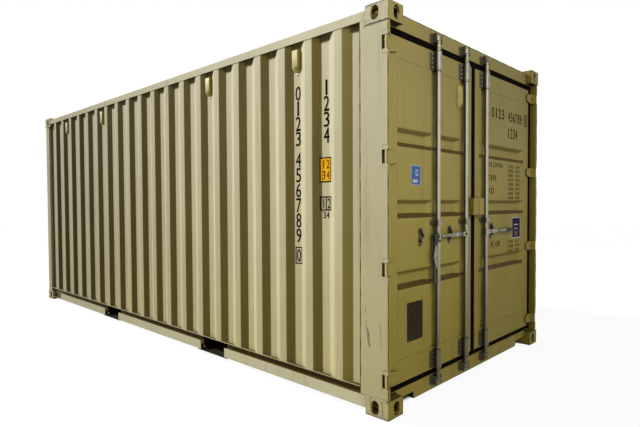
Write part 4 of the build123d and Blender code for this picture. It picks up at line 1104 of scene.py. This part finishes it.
# %% Weld the sheets
wall_beads = []
post_lines = []
for side in (-1, 1):
    out_y = (0, side, 0)
    for level in (wall_low[2], wall_high[2]):
        foot = side * sheet_out(wall_columns)
        path = np.stack([wall_columns, foot, np.full(foot.shape, level)], 1)
        wall_beads.append(bead(path[4:-1], 2.2 * mm, out_y, 9 * mm))
    seam = [(post_back - 3 * mm, side * wall_base, z) for z in (wall_low[2], wall_high[2])]
    wall_beads.append(bead(seam, 4 * mm, out_y, 6 * mm))
    line = [(post_back, side * (skin - 0.6 * mm), z) for z in (casting_height, casting_low[2])]
    post_lines.append(bead(line, 2.6 * mm, out_y, long_step))
add_piece("wall_welds", joined(wall_beads), "tan_paint")
add_piece("post_edge_lines", joined(post_lines), "line_olive")

for leaf, low, high in (("left", -panel_outer, -panel_inner), ("right", panel_inner, panel_outer)):
    rows = [[(door_face - 0.6 * mm, y, z) for y in (low, high)] for z in (panel_low[2], panel_high[2])]
    welds = [bead(row, 2 * mm, out_x, 5 * mm) for row in rows]
    add_piece(leaf + "_door_welds", joined(welds), "tan_paint", leaf + "_leaf")

header_face, _, header_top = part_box("rear_header")[1]
header_half = 1052 * mm
header_line = [(header_face - 0.5 * mm, y, header_top - 0.5 * mm) for y in (-header_half, header_half)]
# A dark rope along the header's top edge: a painted shade line.
add_piece("header_edge_line", bead(header_line, 1.6 * mm, out_x), "plate_dark")
print("welds at the sheets:", len(wall_beads) + 4)

# %% [markdown]
# Bolts, rings and rivets are turned shapes: a short profile carried round an axis. A row
# of places then makes many of them in one mesh. Each plate beside a rod strap has a
# column of four bolts, and rings above and below each strap keep the rod level.

# %% Fit bolts and rings to the rods
def bolt(head, rise):
    """A bolt head that looks to the doors' side, with a worn crown and a washer below it."""
    washer = 1.4 * head
    profile = [(0, -1), (washer, -1), (washer, 0.8), (head, 1),
               (head, 0.75 * rise), (0.8 * head, rise), (0, rise)]
    return turned(profile, "X", 12)


def dome(radius, rise, axis="X"):
    """A round forged head: its height falls off as a circle does."""
    turn = np.linspace(0, np.pi / 2, 6)
    crown = [(radius * math.cos(t), rise * math.sin(t)) for t in turn]
    return turned([(0, -1), (radius, -1)] + crown, axis, 18)


def ring(outer, height, inner=16):
    """A ring round an upright rod, with eased edges, closed round its own section."""
    half, ease = height / 2, 0.25 * height
    profile = [(inner, -half), (outer - ease, -half), (outer, -half + ease),
               (outer, half - ease), (outer - ease, half), (inner, half), (inner, -half)]
    return turned(profile, "Z", 28)


strap_radius = 24 * mm
strap_levels = np.array((246, 2344)) * mm
guide_level = 1213 * mm
plate_face = door_face + 6 * mm
bolt_column = 43 * mm
knob_profile = [(0, -18), (13, -18), (21, -11), (23.5, 0), (21, 11), (13, 18), (0, 18)]
ring_levels = (strap_levels[:, None] + np.array((-65, 65)) * mm).ravel()
rods = {
    "outer_left_rod": ("left_leaf", outer_rod_y),
    "inner_left_rod": ("left_leaf", inner_rod_y),
    "right_rod": ("right_leaf", right_rod_y),
}
for rod, (leaf, y) in rods.items():
    on_plate = (plate_face, y - bolt_column)
    on_rod = (rod_x, y)
    beside_rod = (rod_x, y + strap_radius)
    fittings = (
        ("bolts", bolt(7, 7), "bolt_zinc", leaf, on_plate,
         strap_levels[:, None] + np.array((-46, -16, 16, 46)) * mm),
        ("guide_bolts", bolt(5, 5), "catch_steel", leaf, on_plate,
         guide_level + np.array((-9, 9)) * mm),
        ("set_pins", dome(6, 5, "Y"), "catch_steel", leaf, beside_rod,
         np.array([*(strap_levels - 36 * mm), guide_level])),
        ("rings", ring(22.6, 9.4), "rod_zinc", rod, on_rod, ring_levels),
        ("ring_lines", ring(22.8, 2), "grip_dark", rod, on_rod,
         ring_levels[:, None] + np.array((-5.6, 5.6)) * mm),
        ("knobs", turned(knob_profile, "Z", 24), "cam_steel", rod, on_rod, np.array((100, 2498)) * mm),
        ("stub_rings", ring(20.5, 6), "strap_zinc", rod, on_rod,
         np.array((154, 126, 2436, 2464)) * mm),
    )
    for ending, shape, finish, body, place, levels in fittings:
        many(rod + "_" + ending, shape, [(*place, level) for level in levels.ravel()], finish, body)
print("bolts and rings on rods:", len(rods))

# %% [markdown]
# A bolt on a hinge or a catch sits on whatever the solid's face is there, so its place is
# found by shooting a line at the solid from outside, along -X.

# %% Fit bolts to hinges, catches, hubs and the lock box
trees = {}
start_x = 4.0
hinge_bolt_y = 1166 * mm
catch_level = 1171 * mm
hub_level = 1117 * mm
hub_bolt_aside = 14 * mm
box_rivet_y = 74 * mm
head_rise = 5
catches = (
    ("left_handle_retainers", "left_leaf", -776 * mm),
    ("left_handle_retainers", "left_leaf", -380 * mm),
    ("right_handle_retainer", "right_leaf", 324 * mm),
)


def on_face(node, y, z):
    """The point where a line that comes from the doors' side at (y, z) first meets a solid."""
    if node not in trees:
        mesh = nodes[node].data
        mesh.calc_loop_triangles()
        corners = [v.co[:] for v in mesh.vertices]
        trees[node] = BVHTree.FromPolygons(corners, [t.vertices[:] for t in mesh.loop_triangles])
    return trees[node].ray_cast((start_x, y, z), (-1.0, 0.0, 0.0))[0].x, y, z


for side, leaf in ((-1, "left"), (1, "right")):
    places = [on_face(leaf + "_hinges", side * hinge_bolt_y, z) for z in hinge_levels]
    many(leaf + "_hinges_bolts", dome(8, 4), places, "catch_steel", leaf + "_leaf")
for number, (node, leaf, y) in enumerate(catches, 1):
    face = on_face(node, y, catch_level)[0]
    places = [(face, y, z * mm) for z in (1166, 1098)]
    many(f"catch_{number}_heads", dome(17, head_rise), places, "catch_steel", leaf)
    places = [(face + (head_rise - 0.8) * mm, y + 3 * mm, z * mm) for z in (1169, 1099)]
    many(f"catch_{number}_rivets", dome(5, 1.6), places, "bolt_zinc", leaf)
for rod, (_, y) in rods.items():
    place = on_face(rod, y + math.copysign(hub_bolt_aside, y), hub_level)
    many(rod + "_hub_bolt", bolt(7, 6), [place], "catch_steel", rod)

hub_front = on_face("outer_left_rod", outer_rod_y - hub_bolt_aside, hub_level)[0]
up, across = np.meshgrid(hub_level + np.array((-38, 20)) * mm, outer_rod_y + np.array((-66, 14)) * mm)
hub_plate = np.stack([np.full(up.shape, hub_front + 1 * mm), across, up], -1)
add_piece("outer_hub_plate", two_skins(hub_plate, hub_plate - (3 * mm, 0, 0)), "hub_green", "outer_left_rod")
for side, leaf in ((-1, "left"), (1, "right")):
    box = leaf + "_lock_box"
    places = [on_face(box, side * box_rivet_y, z * mm) for z in (1278, 1370)]
    many(box + "_rivets", dome(5, 2.5), places, "tan_paint", leaf + "_leaf")
print("faces of the solids found:", len(trees))

# %% [markdown]
# The handles are forged blades. Each gets a pin head at its pivot, an eye in its blade,
# and the one on the right leaf a dark grip sleeve. The blade of the outer handle hangs
# beside its rod and swells to one side.

# %% Dress the handles
def paddle(along, half, lean, front, thick):
    """A blade down from nought: at a distance v along it the half width is half(v), its
    middle is moved sideways by lean(v), and its face is crowned across."""
    v = np.linspace(along[0], along[-1], 24)[:, None]
    share = np.linspace(-1, 1, 9)[None]
    across = np.interp(v, along, lean) + share * np.interp(v, along, half)
    crown = np.broadcast_to(front - 1.5 * mm * share**2, across.shape)
    face = np.stack([crown, across, np.broadcast_to(-v, across.shape)], -1)
    return two_skins(face, face - (thick, 0, 0))


handles = ("outer_left_handle", "inner_left_handle", "right_handle")
pivot = {name: joint[name + "_lift"] for name in handles}
below_pin = 13 * mm
grip_middle = 600 * mm
grip_start = (-12 * mm, 558 * mm)
along = np.array((60, 90, 120, 150, 185, 226)) * mm
half = np.array((9, 17, 23, 24, 16, 5)) * mm
lean = np.array((4, 0, -2, -2, 4, 14)) * mm
outer_pivot = pivot["outer_left_handle"]
many("outer_blade_swell", paddle(along, half, lean, 14 * mm, 6 * mm), [outer_pivot],
     "strap_zinc", "outer_left_handle")
many("outer_blade_eye", dome(8, 1.5), [outer_pivot + (13.5 * mm, 0, -150 * mm)],
     "catch_steel", "outer_left_handle")
for name, side in (("inner_left_handle", -1), ("right_handle", 1)):
    y = pivot[name][1]
    eye, pale_head = (on_face(name, y + side * reach * mm, hub_level) for reach in (52, 92))
    many(name + "_eyes", dome(8, 1.5), [eye], "catch_steel", name)
    many(name + "_pale_heads", dome(9, 3), [pale_head], "bolt_zinc", name)
for name in handles:
    x, y, _ = on_face(name, pivot[name][1], hub_level - below_pin)
    many(name + "_pivot_head", dome(8, 3), [(x, y, hub_level)], "bolt_zinc", name)

grip = [(0, 0), (13.2, 0), (13.6, 4), (13.6, 152), (12.2, 156), (0, 156)]
place = (on_face("right_handle", grip_middle, hub_level)[0] + grip_start[0], grip_start[1], hub_level)
many("right_grip_sleeve", turned(grip, "Y"), [place], "grip_dark", "right_handle")
print("handles dressed:", len(pivot))

# %% [markdown]
# A ventilator cover is a moulded hood. Its outline across is the same six-sided trough
# all the way down; only its width and its depth change, so it is one grid of rows.

# %% Mould the ventilator covers
hood_across = np.array((-1, -1, -0.74, 0.74, 1, 1))
hood_out = np.array((0, 0.62, 1, 1, 0.62, 0))
hood_rows = np.array([
    (1.00, 0.78, 0.0), (1.00, 0.78, 0.45), (0.95, 0.92, 0.86), (0.88, 0.96, 1.0), (-0.50, 0.96, 1.0),
    (-0.62, 0.93, 0.96), (-0.90, 0.66, 0.40), (-1.00, 0.55, 0.22), (-1.00, 0.55, 0.0),
])


def hood(half_width, half_height, depth):
    """Points (across, out, up) of a hood: each row scales the trough by its width and depth."""
    rise, wide, deep = hood_rows.T[:, :, None]
    across = half_width * wide * hood_across
    up = np.broadcast_to(half_height * rise, across.shape)
    points = np.stack([across, depth * deep * hood_out, up], -1).reshape(-1, 3)
    return points, grid_faces(len(hood_rows), len(hood_across), round_columns=True)


tab_reach = 92 * mm
vent_level = corners_of("side_vents")[:, 2].mean()
first_hollow = last_foot - (ridge_pitch + 2 * ridge_slope + ridge_flat) / 2
shape, faces = hood(38 * mm, 82 * mm, 29 * mm)
blob, blob_faces = dome(22, 5, "Y")
hoods = []
blobs = []
for side in (-1, 1):
    for x in first_hollow - ridge_pitch * np.array((1, 5, 13, 17)):
        place = (x, side * (wall_base - 1 * mm), vent_level)
        hoods.append((shape * (1, side, 1) + place, faces))
        blobs.append((blob * (1, side, 0.7) + place - (0, 0, tab_reach), blob_faces))
cover = add_piece("side_vent_hoods", joined(hoods), "side_vent")
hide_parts("side_vents")
add_piece("side_vent_sealant", joined(blobs), "sealant")

vent_middle = corners_of("door_vent").mean(0)
shape, faces = hood(31 * mm, 84 * mm, 26 * mm)
place = np.array((door_face - 1 * mm, vent_middle[1] - 9 * mm, vent_middle[2] + 4 * mm))
upright = (shape[:, [1, 0, 2]] + place, faces)
cover = add_piece("door_vent_hood", upright, "vent_plastic", "left_leaf")
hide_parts("door_vent")
tabs = [place + (0, 0, sign * tab_reach) for sign in (-1, 1)]
many("door_vent_tabs", dome(13, 5), tabs, "vent_plastic", "left_leaf")
many("door_vent_bolts", bolt(5, 9), tabs, "catch_steel", "left_leaf")
print("hoods:", len(hoods) + 1)

# %% [markdown]
# The photographed container carries painted numbers and stickers. Here they are plain
# counting digits and blank plates in the same places. A digit is Blender's own font
# made into a mesh and scaled to fill a cell. The marks on the side follow the pressed
# line of the wall, so a plate that is wider than its hollow bends up the slopes. Places
# and sizes on the skin are in millimetres here, across and up.

# %% Cut digits and plates
ink_thickness = 0.5
digit_cache = {}


def digit(character):
    """One digit as triangles, scaled to fill a unit cell; a 1 is a narrow bar."""
    if character not in digit_cache:
        curve = bpy.data.curves.new("digit", "FONT")
        curve.body = character
        curve.extrude = 0.1
        curve.resolution_u = 3
        maker = in_scene("digit", curve)
        flat = bpy.data.meshes.new_from_object(maker)
        flat.calc_loop_triangles()
        points = np.array([v.co[:] for v in flat.vertices])
        faces = np.array([t.vertices[:] for t in flat.loop_triangles])
        bpy.data.objects.remove(maker)
        bpy.data.curves.remove(curve)
        bpy.data.meshes.remove(flat)
        points = (points - points.min(0)) / (points.max(0) - points.min(0))
        if character == "1":
            points[:, 0] = 0.34 + 0.32 * points[:, 0]
        digit_cache[character] = (points, faces)
    return digit_cache[character]


def row_of(text, across, up, width, height, pitch=0, lift=0):
    """Digits side by side from a low corner; a space leaves a gap."""
    shapes = []
    for k, character in enumerate(text):
        if character != " ":
            points, faces = digit(character)
            corner = (across + k * pitch, up, lift)
            shapes.append((points * (width, height, ink_thickness) + corner, faces))
    return shapes


def slab(across, up, width, height, layer=0):
    """A thin plate, as fine as the bends below it need, on top of other layers of film."""
    u, v = np.meshgrid(across + np.linspace(0, width, 9), up + np.linspace(0, height, 2))
    face = np.stack([u, v, np.full(u.shape, (layer + 1) * ink_thickness)], -1)
    points, faces = two_skins(face, face - (0, 0, ink_thickness))
    return points, np.concatenate([faces[:, [0, 1, 2]], faces[:, [0, 2, 3]]])


def border(across, up, width, height, line):
    """Four thin slabs round a rectangle."""
    return [
        slab(across, up, width, line), slab(across, up + height - line, width, line),
        slab(across, up, line, height), slab(across + width - line, up, line, height),
    ]


def mark(name, shapes, finish="mark_ink", body="container"):
    """Ink or film: on the container out along the pressed line of the near wall and clear of
    its dents, and on a leaf just clear of its panel."""
    points, faces = joined(shapes)
    across, up, out = (points * mm).T
    if body == "container":
        points = np.stack([across, -(sheet_out(across) + 1 * mm + out), up], 1)
    else:
        points = np.stack([door_face + 0.3 * mm + out, across, up], 1)
    add_piece(name, (points, faces), finish, body)


print("digit 8 triangles:", len(digit("8")[1]))

# %% [markdown]
# The side has one tall column of digits, a short one beside it, and two small plates.

# %% Mark the side
tops = (2204, 2094.5, 1985, 1875.5, 1722, 1612, 1502, 1392, 1282, 1172)
digit_width, digit_height = 52, 104
plate_x = 2426
tall = []
for text, middle_x in (("0123456789", 2206), ("1234", 2486)):
    for character, top in zip(text, tops):
        tall += row_of(character, middle_x - digit_width / 2, top - digit_height, digit_width, digit_height)
tall += row_of("0", 2186, 928, 40, 92) + border(2171, 912, 70, 124, 7)
mark("side_digits", tall)

mark("height_plate_edge", [slab(plate_x, 1500, 108, 172)])
mark("height_plate", [slab(plate_x + 8, 1508, 92, 156, 1)], "mark_yellow")
rows = row_of("12", plate_x + 20, 1594, 28, 60, 40, 2 * ink_thickness)
rows += row_of("34", plate_x + 20, 1519, 28, 60, 40, 2 * ink_thickness)
mark("height_plate_digits", rows)

boxed = border(plate_x, 1304, 108, 98, 8) + [slab(plate_x + 50, 1304, 8, 98)]
boxed += row_of("12", plate_x + 17, 1320, 26, 66, 50) + row_of("34", plate_x + 26, 1250, 25, 46, 32)
mark("boxed_digits", boxed)
print("marks on the side:", len(tall) + len(rows) + len(boxed))

# %% [markdown]
# The right door has two rows of large digits and a table of small ones, and a dark film
# plate. The left door has a blue film plate and a bare metal one. A row of digits is its
# text, its low corner, the width and height of a digit, and the pitch.

# %% Mark the doors
large_rows = (
    ("0123", 335, 2076, 48, 84, 66), ("456789", 667, 2076, 38, 84, 52),
    ("0", 1036, 2084, 40, 80), ("1234", 659, 1926, 42, 92, 56),
)
small_rows = (
    ("0123456", 284, 1655, 28, 42, 40), ("7890", 288, 1540, 26, 48, 37),
    ("123", 288, 1432, 24, 46, 34), ("45 678", 324, 974, 23, 50, 31),
)
table_tops = [1690 - 40 * k for k in range(8)] + [1016, 975, 934]
films = (
    ("purple_film_edge", "right_leaf", "mark_white", (757, 1027, 194, 196, 0)),
    ("purple_film", "right_leaf", "mark_purple", (768, 1038, 172, 174, 1)),
    ("purple_film_bar", "right_leaf", "mark_white", (800, 1148, 100, 10, 2)),
    ("purple_film_bar_low", "right_leaf", "mark_white", (820, 1112, 66, 9, 2)),
    ("purple_film_patch", "right_leaf", "mark_red", (815, 1052, 66, 42, 2)),
    ("blue_film_edge", "left_leaf", "mark_white", (-882, 1472, 116, 136, 0)),
    ("blue_film", "left_leaf", "mark_blue", (-877, 1477, 106, 126, 1)),
    ("blue_film_bar", "left_leaf", "mark_white", (-830, 1535, 30, 44, 2)),
    ("blue_film_bar_inner", "left_leaf", "mark_blue", (-823, 1543, 16, 28, 3)),
    ("blue_film_line", "left_leaf", "mark_white", (-862, 1490, 60, 22, 2)),
    ("metal_plate", "left_leaf", "plate_dark", (-930, 424, 190, 262, 1)),
)
large = [shape for row in large_rows for shape in row_of(*row)] + border(1018, 2070, 78, 108, 7)
small = [shape for row in small_rows for shape in row_of(*row)]
for k, top in enumerate(table_tops):
    small += row_of("1234567890"[k % 4 : k % 4 + 5], 672, top - 26, 16, 26, 24)
    small += row_of("90817"[k % 3 :][:3], 836, top - 26, 20, 26, 34)
mark("door_digits", large, body="right_leaf")
mark("door_small_digits", small, body="right_leaf")
for name, leaf, finish, place in films:
    mark(name, [slab(*place)], finish, leaf)
corners = [(door_face + 1.2 * mm, y * mm, z * mm) for y in (-920, -750) for z in (434, 676)]
many("metal_plate_rivets", dome(4, 2), corners, "bolt_zinc", "left_leaf")
print("marks on the doors:", len(large) + len(small) + len(films))

# %% [markdown]
# Ropes and other containers have scraped the near post and its lower fitting. A scuff is
# a ragged ribbon: points at a steady pace along a line, each pushed aside and given a
# width by chance. A row gives its two ends and its width in millimetres, the number of
# dashes, how far they stray, and the face that it lies on.

# %% Scrape the near post
chance = np.random.default_rng(7)
casting_face = casting_high[1]
scuff_lines = (
    (2861, 560, 2880, 430, 26, 10, 3.4, skin), (2868, 540, 2890, 440, 18, 7, 2.4, skin),
    (2850, 600, 2872, 455, 16, 8, 1.6, skin), (2962, 600, 2974, 430, 12, 3, 2.0, skin),
    (2885, 116, 2902, 12, 16, 7, 3.4, casting_face), (2976, 116, 2990, 14, 18, 6, 4.0, casting_face),
    (2996, 320, 3012, 296, 6, 3, 2.6, skin), (2845, 690, 2852, 640, 8, 4, 2.0, skin),
    (2858, 2587, 3020, 2587, 22, 2, 3.4, casting_face), (2870, 2576, 2950, 2578, 8, 4, 2.2, casting_face),
    (2856, 4, 3024, 4, 20, 3, 3.2, casting_face), (2834, 2462, 3018, 2465, 20, 3, 1.0, skin),
)


def scuff(from_x, from_z, to_x, to_z, count, stray, width, face):
    """A ribbon between two points of the near side, broken into short dashes: each point is
    start + share * (end - start) + chance * aside, and the ribbon lies half a width to
    either side of it."""
    start, end = np.array((from_x, from_z), float), np.array((to_x, to_z), float)
    aside = (end - start)[::-1] * (1, -1) / np.linalg.norm(end - start)
    share = np.linspace(0, 1, 3 * count)[:, None]
    middle_line = start + share * (end - start) + chance.normal(0, stray / 2, share.shape) * aside
    half_width = chance.uniform(0.2, 1.0, share.shape) * width * aside
    edges = np.stack([middle_line - half_width, middle_line + half_width], 1) * mm
    front = np.stack([edges[..., 0], np.full(edges.shape[:2], -face - 0.5 * mm), edges[..., 1]], -1)
    dashes = (front[k : k + 3] for k in range(0, len(share) - 3, 3))
    return [two_skins(dash, dash + (0, 0.8 * mm, 0)) for dash in dashes]


scuffs = [dash for line in scuff_lines for dash in scuff(*line)]
add_piece("near_corner_scuffs", joined(scuffs), "scuff_dark")
print("dashes of the scuffs:", len(scuffs))
